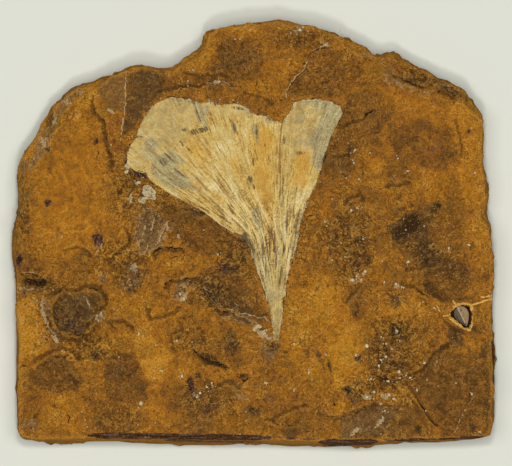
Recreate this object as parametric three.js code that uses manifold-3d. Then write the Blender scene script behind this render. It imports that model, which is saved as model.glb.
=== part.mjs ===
// A fossil ginkgo leaf on a hand-sized slab of iron-stained siltstone, lying on its back.
// Three separate things make it up: the slab, the thin mineral leaf bedded in its upper face,
// and a small seed loose in the pocket that it left in the rock.
// Millimetres, +Z up. X runs across the slab, Y from the sawn edge to the broken top edge,
// and the origin is the middle of the underside's bounding rectangle.

import * as THREE from "three";
import Module from "manifold-3d";
import { mergeVertices } from "three/addons/utils/BufferGeometryUtils.js";

const wasm = await Module();
wasm.setup();

// Driving dimensions.
const THICKNESS = 15; // of the slab, at its level upper face
const RELIEF_STEP = 4.8; // spacing of the two faces' relief
const GAP = 0.3; // between the slab and what is bedded in it
const LEAF_THICKNESS = 1.0;
const LEAF_TOP = THICKNESS + 0.15;
const LEAF_COLUMNS = 25; // pleats and hollows of the fan, across its width
const LEAF_ROWS = 14;
const PLEAT_HEIGHT = 0.11;
const CLEFT_COLUMN = 18; // the split between the two lobes runs down this one
const CLEFT_DEPTH = 0.4;
const POCKET_DEPTH = 2.6; // of the hole that the seed sits in
const SAW_FOOT = 5.5; // height where the sawn strip ends and the snapped lip begins

const degrees = THREE.MathUtils.degToRad;
const points = (list) => list.map(([x, y]) => new THREE.Vector2(x, y));

// The slab's outline, from the lower left corner and against the clock.
const SAWN_EDGE = [
  [-59, -49.5], [-58, -50.75], [-55.5, -51.5], [-52, -52.25], [-50, -52.75], [-47.5, -52.75],
  [-44.5, -52.25], [-41, -51.75], [-31, -51.75], [-25, -52.25], [-18, -52.75], [-10, -52.75],
  [-1, -52.5], [9, -52.75], [16, -53], [22.5, -53], [25, -53.5], [28.5, -53.25], [30.5, -52.5],
  [40, -52.25], [49, -51.75], [56, -51.25], [59, -50.25],
];
const RIGHT_EDGE = [
  [60, -46.5], [59.75, -41.5], [60.25, -36], [60.5, -31.5], [60, -27], [59.25, -22], [59.25, -18],
  [59.75, -12], [59.75, -6], [59, 1.5], [58, 4.75], [58.75, 8.5], [57.75, 15.5], [57, 19],
  [57.25, 25], [57, 30],
];
const TOP_EDGE = [
  [54.5, 33], [52.5, 35.75], [49.75, 37.5], [43.5, 40], [37, 44], [35, 45.5], [32, 44.75],
  [30, 44.5], [26.75, 47.25], [22.5, 49], [19.5, 50.5], [11, 52.25], [7, 53.5], [3.5, 53],
  [-4, 52.25], [-12, 50.5], [-13, 47], [-15, 45.25], [-17.25, 44.25], [-18.5, 42.75], [-20.5, 41.75],
  [-24, 41.25], [-28, 42.25], [-31, 41.75], [-33.5, 40.5],
];
const LEFT_EDGE = [
  [-40, 38.25], [-45.5, 36.25], [-50, 32.5], [-52.25, 29], [-53.5, 27], [-54.5, 24.25], [-57, 21],
  [-59, 17.25], [-59.25, 14.5], [-58.75, 12.5], [-59, 7], [-59.75, 2.5], [-60.5, -1], [-60.5, -6.5],
  [-59.5, -11], [-59.25, -18], [-59.25, -30], [-59.5, -35], [-59.25, -40],
];
const OUTLINE = points([...SAWN_EDGE, ...RIGHT_EDGE, ...TOP_EDGE, ...LEFT_EDGE]);

// The leaf's three margins. The two side margins start at the stalk's tip.
const LEAF_LEFT = points([
  [4.4, -26.4], [4.1, -22], [3.4, -16.5], [2.2, -12.5], [0, -6], [-1.9, -1.6], [-5, 0.3],
  [-12.3, 5.4], [-19.8, 9.3], [-25.6, 12.9], [-29.2, 15.8], [-31.6, 18],
]);
const LEAF_RIGHT = points([
  [6, -26], [7.3, -20], [7, -17], [8, -12.4], [9.3, -7.6], [10.6, -3.7], [11.2, 0.6], [12.3, 5],
  [15.4, 12.2], [17.3, 18], [19.4, 24.6], [22, 30.6],
]);
const LEAF_FAR = points([
  [-31.6, 18], [-30.5, 22.8], [-29.2, 26], [-27.3, 29.4], [-25.3, 32.1], [-21.2, 34.2],
  [-17.3, 34.1], [-9.7, 32.9], [-5, 32.8], [-0.4, 30.2], [4.6, 28.6], [7, 27.4], [8.8, 29.5],
  [10.2, 33], [13, 33.6], [16, 33.7], [19.2, 33.1], [21.8, 31.9], [22, 30.6],
]);

// The seed's pocket: a drop with its tip towards the lower right.
const POCKET = points([
  [48.6, -19.6], [49.3, -18.6], [50.8, -17.6], [52.6, -17.4], [54.2, -18], [54.8, -19.2],
  [54.8, -20.8], [54.5, -22.6], [54.1, -24.1], [52.6, -23.6], [50.9, -22.6], [49.5, -21.7],
  [48.6, -20.8],
]);
const RIM_WIDTH = 0.7; // of the crust round the pocket
const RIM_HEIGHT = 0.35;
const SEED_LENGTH = 5.5;
const SEED_WIDTH = 5;
const SEED_HEIGHT = 2.2;
const SEED_CENTRE = new THREE.Vector2(51.95, -20.4);
const SEED_TURN = degrees(24);

// A closed three.js geometry as a solid, for cutting and joining.
function solid(geometry) {
  const bare = geometry.clone();
  bare.deleteAttribute("normal");
  bare.deleteAttribute("uv");
  const merged = mergeVertices(bare, 1e-4);
  return new wasm.Manifold(
    new wasm.Mesh({
      numProp: 3,
      vertProperties: merged.attributes.position.array,
      triVerts: new Uint32Array(merged.index.array),
    }),
  );
}

// A solid as a three.js geometry again.
function geometryOf(made) {
  const { vertProperties, triVerts } = made.getMesh();
  const geometry = new THREE.BufferGeometry();
  geometry.setAttribute("position", new THREE.BufferAttribute(vertProperties, 3));
  geometry.setIndex(new THREE.BufferAttribute(triVerts, 1));
  geometry.computeVertexNormals();
  return geometry;
}

// Moves every vertex of a geometry by a function of its place.
function moved(geometry, move) {
  const place = geometry.attributes.position;
  const vertex = new THREE.Vector3();
  for (let i = 0; i < place.count; i++) {
    move(vertex.fromBufferAttribute(place, i));
    place.setXYZ(i, vertex.x, vertex.y, vertex.z);
  }
  return geometry;
}

// An upright prism on an outline, from one height to another.
function prism(outline, low, high) {
  const shape = new THREE.Shape(outline);
  return new THREE.ExtrudeGeometry(shape, { depth: high - low, bevelEnabled: false }).translate(0, 0, low);
}

// An outline grown outwards by a distance, corner by corner.
function grown(outline, distance) {
  const turning = Math.sign(THREE.ShapeUtils.area(outline));
  return outline.map((corner, i) => {
    const before = outline.at(i - 1).clone().sub(corner).normalize();
    const after = outline[(i + 1) % outline.length].clone().sub(corner).normalize();
    const along = after.clone().sub(before).normalize();
    return corner.clone().add(new THREE.Vector2(along.y, -along.x).multiplyScalar(turning * distance));
  });
}

// A point at a share of a broken line's length.
function along(line, share) {
  const lengths = line.slice(1).map((p, i) => p.distanceTo(line[i]));
  let left = share * lengths.reduce((a, b) => a + b, 0);
  let i = 0;
  while (i < lengths.length - 1 && left > lengths[i]) left -= lengths[i++];
  return line[i].clone().lerp(line[i + 1], Math.min(1, left / lengths[i]));
}

// A bell from 1 at its centre to 0 at its rim.
function bell(x, y, centreX, centreY, radius) {
  const away = Math.hypot(x - centreX, y - centreY) / radius;
  return away < 1 ? (1 + Math.cos(Math.PI * away)) / 2 : 0;
}

// A number from 0 to 1 that belongs to one corner of a square lattice.
function chance(i, j) {
  const wild = Math.sin(i * 127.1 + j * 311.7 + 4.7) * 43758.5453;
  return wild - Math.floor(wild);
}

// Smooth noise from -1 to 1, with lumps about one unit across.
function noise(x, y) {
  const [i, j] = [Math.floor(x), Math.floor(y)];
  const [u, v] = [x - i, y - j].map((t) => t * t * (3 - 2 * t));
  const low = THREE.MathUtils.lerp(chance(i, j), chance(i + 1, j), u);
  const high = THREE.MathUtils.lerp(chance(i, j + 1), chance(i + 1, j + 1), u);
  return 2 * THREE.MathUtils.lerp(low, high, v) - 1;
}

// Height of the upper face above its level, before anything is cut from it.
function relief(x, y) {
  const broad = 0.42 * noise(x / 15, y / 15);
  const fine = 0.34 * noise(x / 8 + 9, y / 8) + 0.2 * noise(x / 5, y / 5 + 7);
  const lumps =
    0.8 * bell(x, y, -27, -27, 12) + // swelling under the shell-like outline
    0.5 * bell(x, y, -45, -34, 11) + // the smooth dark plate at the lower left
    0.45 * bell(x, y, -8, -22, 11) +
    0.5 * bell(x, y, 18, 40, 12) + // the plate above the right lobe
    0.4 * bell(x, y, -12, 41, 12) +
    0.4 * bell(x, y, 45, -34, 14);
  const hollows =
    0.6 * bell(x, y, 40, -2, 12) +
    0.5 * bell(x, y, 30, -38, 10) +
    0.5 * bell(x, y, -52, -8, 9);
  return broad + fine + lumps - hollows;
}

// Height of the split underside above the flat lands it rests on, where that is above zero.
// It rises in two steps, as the layers of the rock came away.
function backRelief(x, y) {
  const waves = noise(x / 23 + 3.3, y / 19 + 1.2) + 0.35 * noise(x / 8, y / 8) + 0.1;
  const lost = waves - 1.2 * bell(x, y, 0, 0, 22); // nothing is lost round the middle
  const firstStep = 1.1 * THREE.MathUtils.smoothstep(lost, 0.05, 0.3);
  const secondStep = 0.9 * THREE.MathUtils.smoothstep(lost, 0.5, 0.75);
  return firstStep + secondStep + 0.3 * Math.max(0, lost) - 0.5;
}

// A block with the relief of both faces, wider than the slab on every side.
function reliefBlock() {
  const width = 128;
  const depth = 114;
  const columns = Math.round(width / RELIEF_STEP);
  const rows = Math.round(depth / RELIEF_STEP);
  const block = new THREE.BoxGeometry(width, depth, 1, columns, rows, 1);
  return moved(block, (v) => {
    const isInside = Math.abs(v.x) < width / 2 - 1 && Math.abs(v.y) < depth / 2 - 1;
    const stray = isInside ? 0.6 * RELIEF_STEP : 0; // so the facets don't stand in rows
    const [column, row] = [v.x / RELIEF_STEP, v.y / RELIEF_STEP];
    v.x += stray * (chance(column, row) - 0.5);
    v.y += stray * (chance(row + 40, column) - 0.5);
    v.z = v.z > 0 ? THICKNESS + relief(v.x, v.y) : backRelief(v.x, v.y);
  });
}

// The nearest place on the outline, with the outline's outward direction there.
function edgeAt(x, y) {
  const wanted = new THREE.Vector2(x, y);
  const nearest = OUTLINE.map((start, i) => {
    const side = OUTLINE[(i + 1) % OUTLINE.length].clone().sub(start);
    const share = wanted.clone().sub(start).dot(side) / side.lengthSq();
    const place = start.clone().addScaledVector(side, THREE.MathUtils.clamp(share, 0, 1));
    const out = new THREE.Vector2(side.y, -side.x).normalize();
    return { away: place.distanceTo(wanted), place, out };
  });
  return nearest.reduce((best, one) => (one.away < best.away ? one : best));
}

// How far each layer of the broken rim stands back from the outline, from the underside up.
const LAYERS = [1.3, 0, 1, 0.2, 0.9, 0.3, 0.7];

// The slab's outline as a wall of layers, of which the boldest reaches the outline itself.
function layeredWall() {
  const top = THICKNESS + 3;
  const steps = LAYERS.length - 1;
  const shape = new THREE.Shape(OUTLINE);
  const wall = new THREE.ExtrudeGeometry(shape, { depth: top, steps, bevelEnabled: false });
  return moved(wall, (v) => {
    const { out } = edgeAt(v.x, v.y);
    const insets = LAYERS.map((set, i) => set * (1.1 + noise(v.x / 9 + 5 * i, v.y / 9)));
    const inset = insets[Math.round((v.z * steps) / top)] - Math.min(...insets);
    v.x -= out.x * inset;
    v.y -= out.y * inset;
  });
}

// A shell-shaped scar that takes the arris off the slab's rim. It reaches inwards over the
// upper or lower face by width, and down or up the side by drop.
function scar([x, y, width, drop, radius], upper) {
  const { place, out } = edgeAt(x, y);
  const chord = Math.hypot(width, drop);
  const away = Math.sqrt(radius * radius - (chord * chord) / 4);
  const outwards = -width / 2 + (away * drop) / chord;
  const upwards = -drop / 2 + (away * width) / chord;
  const centre = place.clone().addScaledVector(out, outwards);
  const height = upper ? THICKNESS + relief(x, y) + upwards : -upwards;
  return new THREE.SphereGeometry(radius, 18, 12)
    .rotateX(degrees(90))
    .rotateZ(out.angle() + degrees(7))
    .translate(centre.x, centre.y, height);
}

// A flake lifted off the upper face: deep along a sharp edge, and fading out towards both of
// the edge's ends and a reach away from it.
function flake({ edge, reach, towards, depth }) {
  const sharp = points(edge);
  const way = new THREE.Vector2(reach, 0).rotateAround(new THREE.Vector2(), degrees(towards));
  const faded = sharp.map((p) => p.clone().add(way)).reverse();
  const wedge = prism([...sharp, ...faded], 0, 1);
  return moved(wedge, (v) => {
    const at = sharp.findIndex((p) => Math.hypot(p.x - v.x, p.y - v.y) < 1e-3);
    const isEnd = at <= 0 || at === sharp.length - 1;
    const surface = THICKNESS + relief(v.x, v.y);
    if (v.z > 0.5) v.z = THICKNESS + 4;
    else v.z = surface + (isEnd ? 0.1 : -depth);
  });
}

// A hollow with steep sides and an uneven rim. Its floor rises by the tilt towards the right.
function hollow([x, y, across, upwards, depth, tilt]) {
  const bowl = new THREE.SphereGeometry(1, 14, 8).rotateX(degrees(90));
  moved(bowl, (v) => {
    v.multiplyScalar(1 + 0.14 * noise(2.2 * v.x + x, 2.2 * v.y + y));
    v.z = Math.sign(v.z) * Math.abs(v.z) ** 0.7;
  });
  return bowl
    .scale(across / 2, upwards / 2, depth * 1.25)
    .rotateY(degrees(-tilt))
    .translate(x, y, THICKNESS + relief(x, y) + depth * 0.25);
}

// A long groove, as a stretched ball that is sunk in the upper face.
function groove([x, y, length, width, depth, turn]) {
  return new THREE.SphereGeometry(1, 10, 6)
    .scale(length / 2, width / 2, depth)
    .rotateZ(degrees(turn))
    .translate(x, y, THICKNESS + relief(x, y));
}

// The saw went in from the upper face along three sides, and the rest was snapped off,
// so a lip stands out below each smooth strip. Each line of cuts is a list of places on the
// upper face, with how far the strip leans outwards from there down to its foot.
const SAWN_LINES = [
  [
    [-58.6, -50.5, 0.9], [-41, -49.8, 2.1], [3, -50.2, 2.1], [25, -51, 1.9], [37, -51, 0.8],
    [60.2, -50.3, 0.6],
  ],
  [[59.4, -44, 0.4], [59.1, -25.5, 0.4]],
  [[-58.5, -22, 0.4], [-58.5, -49, 0.4]],
];

function sawnStrip([startX, startY, startLean], [endX, endY, endLean]) {
  const run = new THREE.Vector2(endX - startX, endY - startY);
  const length = run.length();
  const height = THICKNESS + 6 - SAW_FOOT;
  const reach = 5;
  const strip = new THREE.BoxGeometry(length + 0.1, reach, height, Math.ceil(length / 4), 1, 1);
  strip.translate(length / 2, -reach / 2, SAW_FOOT + height / 2);
  moved(strip, (v) => {
    const isFoot = v.z < SAW_FOOT + 0.1;
    if (isFoot && v.y > -0.1) v.y -= THREE.MathUtils.lerp(startLean, endLean, v.x / length);
    if (isFoot) v.z += 1.4 * noise((startX + v.x) / 6, startY);
  });
  return strip.rotateZ(run.angle()).translate(startX, startY, 0);
}

// Scars on the upper arris: place on the rim, width, drop and radius.
const UPPER_SCARS = [
  // The ragged left rim.
  [-59.4, -9, 1.5, 2.8, 14], [-60, -2, 2.6, 4, 9], [-59, 9, 2.2, 3, 13], [-58.5, 16, 4.2, 4.6, 11],
  // The wide bevel at the upper left, in overlapping flakes.
  [-55, 23, 6.5, 3.6, 12], [-52.6, 29, 5, 5, 9], [-47.5, 34.8, 5.6, 3.4, 13], [-40.5, 38.2, 2.6, 4.2, 8],
  [-32, 41.4, 1.4, 2.4, 13], [-24, 41.4, 1, 3, 8],
  // The top, where the rim turns in and out again.
  [-14.4, 45.6, 1.8, 4.6, 7], [-6, 51.8, 1.1, 2.6, 16], [8, 53.2, 1.6, 3.4, 9], [19.5, 50.4, 1.4, 2.6, 13],
  // The wide bevel at the upper right.
  [26.4, 47.6, 2.8, 4.4, 8], [33.4, 45.2, 4.4, 2.8, 10], [41, 41.4, 5.8, 4.4, 12], [49.6, 37.4, 4.8, 3.2, 10],
  [54.6, 33, 2.6, 4.6, 7],
  // The right rim.
  [57.2, 25, 0.9, 2.2, 16], [58.6, 8, 1.1, 2.4, 9], [58.2, 4.6, 2, 3.6, 5], [59.8, -10, 0.9, 2.4, 12],
];

// Scars on the lower arris.
const LOWER_SCARS = [
  [-51, -52.2, 3, 2.2, 15], [-22, -52.4, 5.4, 3.2, 17], [2, -52.6, 3, 1.6, 12], [38, -52.6, 4, 3.6, 12],
  [54, -51.6, 5, 2.6, 12], [60, -38, 3, 4, 13], [59.4, -14, 5.6, 3, 19], [58, 8, 2.4, 4.6, 9],
  [57, 26, 5.4, 3.6, 14], [48, 38, 3.6, 6, 12], [31, 44.5, 6.4, 3.4, 15], [17.5, 51, 4, 5.4, 13],
  [-8, 51.4, 6, 3, 18], [-19, 42.4, 3, 5, 9], [-38, 39, 6.4, 3.6, 17], [-53, 28, 4, 6.4, 13],
  [-59, 10, 3, 3, 10], [-60, -8, 5.6, 4, 16], [-59.3, -33, 3.4, 2.8, 18],
];

// Flakes that have come off the upper face, each with its sharp edge first.
const FLAKES = [
  {
    // Under the leaf's lower left margin, where the leaf stands above the rock.
    edge: [[-27.6, 9.6], [-20.2, 7.4], [-12.6, 3.6], [-5.4, -1.5], [-2.6, -4.4]],
    reach: 9, towards: 238, depth: 0.8,
  },
  {
    // The long ledge that swings round above the lower middle.
    edge: [
      [-23.4, -14.4], [-21, -11.4], [-18, -10.9], [-14.4, -11.2], [-10.4, -17.6], [-6, -20],
      [0.6, -22.6],
    ],
    reach: 8, towards: 62, depth: 0.9,
  },
  // Two short shadowed arcs below the left lobe.
  { edge: [[-38.4, -6.4], [-34.8, -4.6], [-31, -2.1]], reach: 6, towards: 118, depth: 0.8 },
  { edge: [[-25.4, -4.7], [-22.4, -3.1], [-17.4, -3.8]], reach: 5, towards: 82, depth: 0.8 },
  // The dark plate at the lower left, and the arc to the right of the hollow.
  { edge: [[-54.6, -33], [-49.6, -29.2], [-44.4, -30.2]], reach: 8, towards: 292, depth: 0.6 },
  { edge: [[-36, -21.8], [-32.4, -21.3], [-29.6, -23.9]], reach: 5, towards: 250, depth: 0.6 },
  // The dark slanting flake below the middle.
  { edge: [[-15, -29.5], [-10.4, -32.6], [-6, -33.8]], reach: 3.5, towards: 238, depth: 0.7 },
  {
    // The long step to the left of the leaf.
    edge: [
      [-40.2, 32.4], [-38.9, 29.4], [-37.6, 27.2], [-36.6, 23.6], [-35.6, 19.4], [-34.6, 16],
    ],
    reach: 4, towards: 14, depth: 0.5,
  },
  // The bedding edge above the leaf.
  { edge: [[-20, 36], [-12.4, 37], [-5.4, 37.6]], reach: 3, towards: 272, depth: 0.7 },
  // The streak below the broken upper right rim.
  { edge: [[34.4, 39.8], [38.6, 38.8], [42.2, 36.8]], reach: 4, towards: 62, depth: 0.8 },
  {
    // The step at the lower right.
    edge: [[38.4, -37.8], [39.7, -40.2], [43, -45.9], [46.6, -48.8]],
    reach: 6, towards: 208, depth: 0.6,
  },
  {
    // The curved edge above that step.
    edge: [
      [29, -34.4], [32.4, -36.2], [35.2, -36.3], [41.7, -33.6], [45.8, -28.3], [49.5, -25.6],
    ],
    reach: 5, towards: 128, depth: 0.6,
  },
  // Small flakes on the right.
  { edge: [[24, 8.6], [28, 10.6], [31.4, 11.6]], reach: 4, towards: 292, depth: 0.5 },
  { edge: [[36, 16.4], [41, 15], [44.6, 12]], reach: 4, towards: 240, depth: 0.4 },
  { edge: [[35.6, -14.2], [40, -16.2], [44, -19.6]], reach: 4, towards: 52, depth: 0.6 },
];

// Hollows in the upper face: middle, width, height in plan, depth and tilt.
const HOLLOWS = [
  [-44.6, -19.8, 13.4, 12.6, 1.5, 3], [-41.6, -22.8, 6.4, 4.6, 1.1, 0], [-47.4, -17.2, 5.4, 4, 1.5, 4],
  [37.6, 0, 11, 8, 0.7, 2], [42.4, -5.4, 6, 4, 0.5, 0],
];

// Grooves and pits: middle, length, width, depth and turn.
const GROOVES = [
  [-54.4, -12.1, 12, 2.2, 0.9, -4], [22.6, 26.6, 9, 1.2, 0.5, 28], [27.4, 16.8, 6, 1.4, 0.5, 20],
  [-45.6, 8.4, 2.4, 1.8, 0.6, 20], [46.4, 20.2, 2.2, 1.8, 0.5, 0], [-58, -1.8, 1.4, 1.2, 0.6, 0],
  [12, -42, 6, 1.6, 0.5, -30], [22.4, -38.9, 1.8, 1.6, 0.8, 0],
];

// A place on the leaf: across from the left margin to the right, and out from the stalk.
function leafPlace(across, out) {
  const left = along(LEAF_LEFT, out);
  const right = along(LEAF_RIGHT, out);
  const chord = LEAF_LEFT.at(-1).clone().lerp(LEAF_RIGHT.at(-1), across);
  const bulge = along(LEAF_FAR, across).sub(chord).multiplyScalar(out ** 1.3);
  return left.lerp(right, across).add(bulge);
}

function leafGeometry() {
  const plate = new THREE.BoxGeometry(1, 1, 1, LEAF_COLUMNS, LEAF_ROWS, 1);
  return moved(plate, (v) => {
    const column = Math.round((v.x + 0.5) * LEAF_COLUMNS);
    const out = v.y + 0.5;
    const place = leafPlace(v.x + 0.5, out);
    const pleat = PLEAT_HEIGHT * (column % 2 ? 1 : -1) * Math.min(1, 2 * out);
    const sag = 0.25 * bell(place.x, place.y, -8, 20, 16);
    const cleft = column === CLEFT_COLUMN ? CLEFT_DEPTH * THREE.MathUtils.smoothstep(out, 0.3, 0.7) : 0;
    v.z = v.z > 0 ? LEAF_TOP + pleat - sag - cleft : LEAF_TOP - LEAF_THICKNESS;
    v.x = place.x;
    v.y = place.y;
  });
}

// The leaf's bed is its own outline, grown by the gap and cut down to under it.
function leafBed() {
  const rows = Array.from({ length: LEAF_ROWS }, (_, i) => i / LEAF_ROWS);
  const columns = Array.from({ length: LEAF_COLUMNS + 1 }, (_, i) => i / LEAF_COLUMNS);
  const outline = [
    ...rows.map((out) => leafPlace(0, out)),
    ...columns.map((across) => leafPlace(across, 1)),
    ...rows.map((out) => leafPlace(1, out)).reverse(),
  ];
  return prism(grown(outline, GAP), LEAF_TOP - LEAF_THICKNESS - GAP, THICKNESS + 6);
}

// A drop with a blunt end, a tip and a keel along its back, flat where it rests.
function seedGeometry() {
  const drop = new THREE.SphereGeometry(1, 16, 10).rotateX(degrees(90));
  moved(drop, (v) => {
    const towardsTip = (1 - v.y) / 2;
    const pinch = 1 - 0.82 * towardsTip ** 2.2;
    const keel = 0.28 * Math.exp(-((v.x / 0.2) ** 2)) * Math.max(0, v.z);
    v.z = Math.max(-0.62, v.z + keel) * (1 - 0.35 * towardsTip ** 2) * (SEED_HEIGHT / 1.9);
    v.x *= (SEED_WIDTH / 2) * pinch;
    v.y *= SEED_LENGTH / 2;
  });
  drop.rotateZ(SEED_TURN);
  drop.computeBoundingBox();
  const lift = THICKNESS - POCKET_DEPTH + GAP - drop.boundingBox.min.z;
  return drop.translate(SEED_CENTRE.x, SEED_CENTRE.y, lift);
}

// The crust that stands up round the seed's pocket.
function pocketRim() {
  const low = THICKNESS - 1;
  return moved(prism(grown(POCKET, RIM_WIDTH), low, low + 1), (v) => {
    if (v.z > low + 0.5) v.z = THICKNESS + relief(v.x, v.y) + RIM_HEIGHT;
  });
}

const cutAll = (rock, cuts) => cuts.reduce((left, cut) => left.subtract(solid(cut)), rock);

function slabGeometry() {
  const block = solid(layeredWall()).intersect(solid(reliefBlock()));
  const flaked = cutAll(block, [...FLAKES.map(flake), ...HOLLOWS.map(hollow), ...GROOVES.map(groove)]);
  const crusted = flaked.add(solid(pocketRim()));
  const strips = SAWN_LINES.flatMap((line) => line.slice(1).map((end, i) => sawnStrip(line[i], end)));
  const upperScars = UPPER_SCARS.map((place) => scar(place, true));
  const lowerScars = LOWER_SCARS.map((place) => scar(place, false));
  const pocket = prism(POCKET, THICKNESS - POCKET_DEPTH, THICKNESS + 6);
  return geometryOf(cutAll(crusted, [...strips, ...upperScars, ...lowerScars, leafBed(), pocket]));
}

function node(name, geometry, color, roughness) {
  const material = new THREE.MeshStandardMaterial({ color, roughness, metalness: 0 });
  const mesh = new THREE.Mesh(geometry, material);
  mesh.name = name;
  return mesh;
}

const fossil = new THREE.Group();
fossil.add(node("slab", slabGeometry(), "#7d541f", 0.85));
fossil.add(node("leaf", leafGeometry(), "#c4a462", 0.8));
fossil.add(node("seed", seedGeometry(), "#7a6350", 0.6));

export default fossil;
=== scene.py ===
# %% [markdown]
# A fossil ginkgo leaf on a slab of iron-stained siltstone, seen from straight above.
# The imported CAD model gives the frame: its slab, leaf and seed fix every size and place, and
# this notebook dresses them with finer meshes and with materials made of nodes.

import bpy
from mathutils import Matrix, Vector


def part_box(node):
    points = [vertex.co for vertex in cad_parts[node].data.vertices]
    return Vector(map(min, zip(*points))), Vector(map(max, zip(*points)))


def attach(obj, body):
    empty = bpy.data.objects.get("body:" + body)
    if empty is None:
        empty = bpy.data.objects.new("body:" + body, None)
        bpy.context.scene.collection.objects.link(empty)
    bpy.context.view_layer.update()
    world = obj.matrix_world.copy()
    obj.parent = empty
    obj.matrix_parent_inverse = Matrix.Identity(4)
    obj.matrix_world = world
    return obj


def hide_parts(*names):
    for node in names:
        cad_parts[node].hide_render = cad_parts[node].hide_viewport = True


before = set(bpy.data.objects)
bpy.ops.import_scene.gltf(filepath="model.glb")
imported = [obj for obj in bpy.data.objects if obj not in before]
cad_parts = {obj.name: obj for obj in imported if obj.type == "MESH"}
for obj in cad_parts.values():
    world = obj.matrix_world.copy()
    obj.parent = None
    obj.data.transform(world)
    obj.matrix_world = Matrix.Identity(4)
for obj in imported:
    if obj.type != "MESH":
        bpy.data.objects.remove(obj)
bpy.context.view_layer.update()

# %% Tools of the trade
import math

import bmesh
import bpy
import numpy as np
from mathutils import Matrix, Vector, noise

MM = 0.001
scene = bpy.context.scene

# %% [markdown]
# Two kinds of places are used. Sizes are real ones, in millimetres. Where a stain or a crack
# lies was read off the picture, so those lists end in _PX and hold picture points.
# Four picture points are a millimetre, and the slab's middle is at (254, 234).

# %% Places read off the picture
POINTS_PER_MM = 4
MIDDLE_X_PX = 254
MIDDLE_Y_PX = 234


def spots(list_px):
    """Picture points as an array of places on the slab, in millimetres."""
    raw = np.array(list_px, dtype=float)
    return np.column_stack([raw[:, 0] - MIDDLE_X_PX, MIDDLE_Y_PX - raw[:, 1]]) / POINTS_PER_MM


def smooth(value, low, high):
    """An S-shaped step from 0 at low to 1 at high."""
    share = np.clip((value - low) / (high - low), 0, 1)
    return share * share * (3 - 2 * share)


def bell(value):
    """1 at 0, and soon 0 away from it."""
    return np.exp(-(value**2))


def wander(places, size, octaves=3, shift=0.0):
    """Smooth noise of about -1 to 1 at each place, with lumps of a size in millimetres."""
    scaled = np.asarray(places) / size + shift
    return np.array([noise.fractal(Vector(p), 0.9, 2.1, octaves) for p in scaled.tolist()])


def away_from(line, x, y):
    """Distance from a broken line, share of its length at the nearest place, and the side."""
    best = np.full(x.shape, 1e9)
    share = np.zeros(x.shape)
    side = np.zeros(x.shape)
    steps = np.diff(line, axis=0)
    lengths = np.hypot(steps[:, 0], steps[:, 1])
    total = lengths.sum()
    walked = 0.0
    for start, step, length in zip(line, steps, lengths):
        dx = x - start[0]
        dy = y - start[1]
        t = np.clip((dx * step[0] + dy * step[1]) / max(length**2, 1e-9), 0, 1)
        gap = np.hypot(dx - t * step[0], dy - t * step[1])
        nearer = gap < best
        best[nearer] = gap[nearer]
        share[nearer] = ((walked + t * length) / total)[nearer]
        side[nearer] = np.sign(step[0] * dy - step[1] * dx)[nearer]
        walked += length
    return best, share, side


def within(outline, x, y):
    """Whether each place is inside a closed outline."""
    crossed = np.zeros(x.shape, dtype=bool)
    for (x0, y0), (x1, y1) in zip(outline, np.roll(outline, -1, axis=0)):
        spans = (y0 > y) != (y1 > y)
        if y0 != y1:
            crossed ^= spans & (x < x0 + (y - y0) / (y1 - y0) * (x1 - x0))
    return crossed


# %% [markdown]
# The leaf is a fan. Its place is worked out from three margins: the left and the right one
# both start at the stalk's tip, and the far one closes the fan. A point of the fan is given by
# how far across it lies and how far out from the stalk, so the veins, which run outwards, are
# lines of equal "across". The same two numbers become the leaf's UV map.

# %% The leaf's margins
LEFT_MARGIN_PX = [
    (274, 341.4), (273.2, 334), (272.6, 326), (270.8, 317), (267.8, 300.4), (263.3, 286.6),
    (258, 271), (253.8, 259), (251.2, 248.8), (246, 240.2), (234, 233.3), (220.2, 224.7),
    (204.7, 212.6), (189.2, 204), (175.4, 197), (161.7, 188.5), (151.3, 181.6), (146.2, 173.9),
    (135.8, 171.3), (127, 164),
]
RIGHT_MARGIN_PX = [
    (278.8, 341), (279.4, 334), (280.4, 326), (282.2, 318), (283.2, 310.8), (281.3, 302.2),
    (285.3, 298.7), (286.5, 283.2), (290.8, 264.3), (296, 248.8), (298.6, 231.5), (302.9, 214.3),
    (308, 198.8), (315.8, 185), (318.4, 176.4), (322.7, 162.7), (326.1, 150.6), (332.1, 135.1),
    (337.3, 123), (342.5, 114.4),
]
FAR_MARGIN_PX = [
    (127, 164), (127.2, 152.3), (131.5, 143.7), (136.7, 136.8), (137.6, 130), (144.4, 117),
    (152.2, 105.8), (161.7, 100.7), (169.4, 97.2), (178.9, 97.7), (190.9, 99.8), (199.5, 102.4),
    (215, 102.4), (221.9, 105), (234, 103.2), (244.3, 105.8), (252.9, 113.6), (265, 116.2),
    (273.6, 120.5), (279.6, 122.2), (282.2, 124.8), (284, 120.5), (290, 112.7), (294.3, 102.4),
    (304.6, 99.8), (316.6, 98.9), (330.4, 101.5), (340.8, 106.7), (342.5, 114.4),
]
FAN_BEND = 1.3  # how soon the far margin's shape is felt on the way out from the stalk
SIDE_FADE = 0.04  # share of the leaf's width within which a side margin's strays fade
FAR_FADE = 14  # power by which the far margin's strays fade towards the stalk
SAMPLES = np.linspace(0, 1, 401)


def along(line, share):
    """Places at shares of a broken line's length."""
    steps = np.diff(line, axis=0)
    walked = np.concatenate([[0], np.cumsum(np.hypot(steps[:, 0], steps[:, 1]))])
    wanted = np.asarray(share) * walked[-1]
    return np.column_stack([np.interp(wanted, walked, line[:, i]) for i in (0, 1)])


def margin(list_px, blur):
    """A margin as two lists of places: its soft course, and how far it strays from that."""
    true = along(spots(list_px), SAMPLES)
    weights = bell((SAMPLES[:, None] - SAMPLES) / blur)
    slant = true[0] + np.outer(SAMPLES, true[-1] - true[0])
    soft = slant + weights @ (true - slant) / weights.sum(axis=1)[:, None]
    soft[[0, -1]] = true[[0, -1]]
    return soft, true - soft


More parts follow.
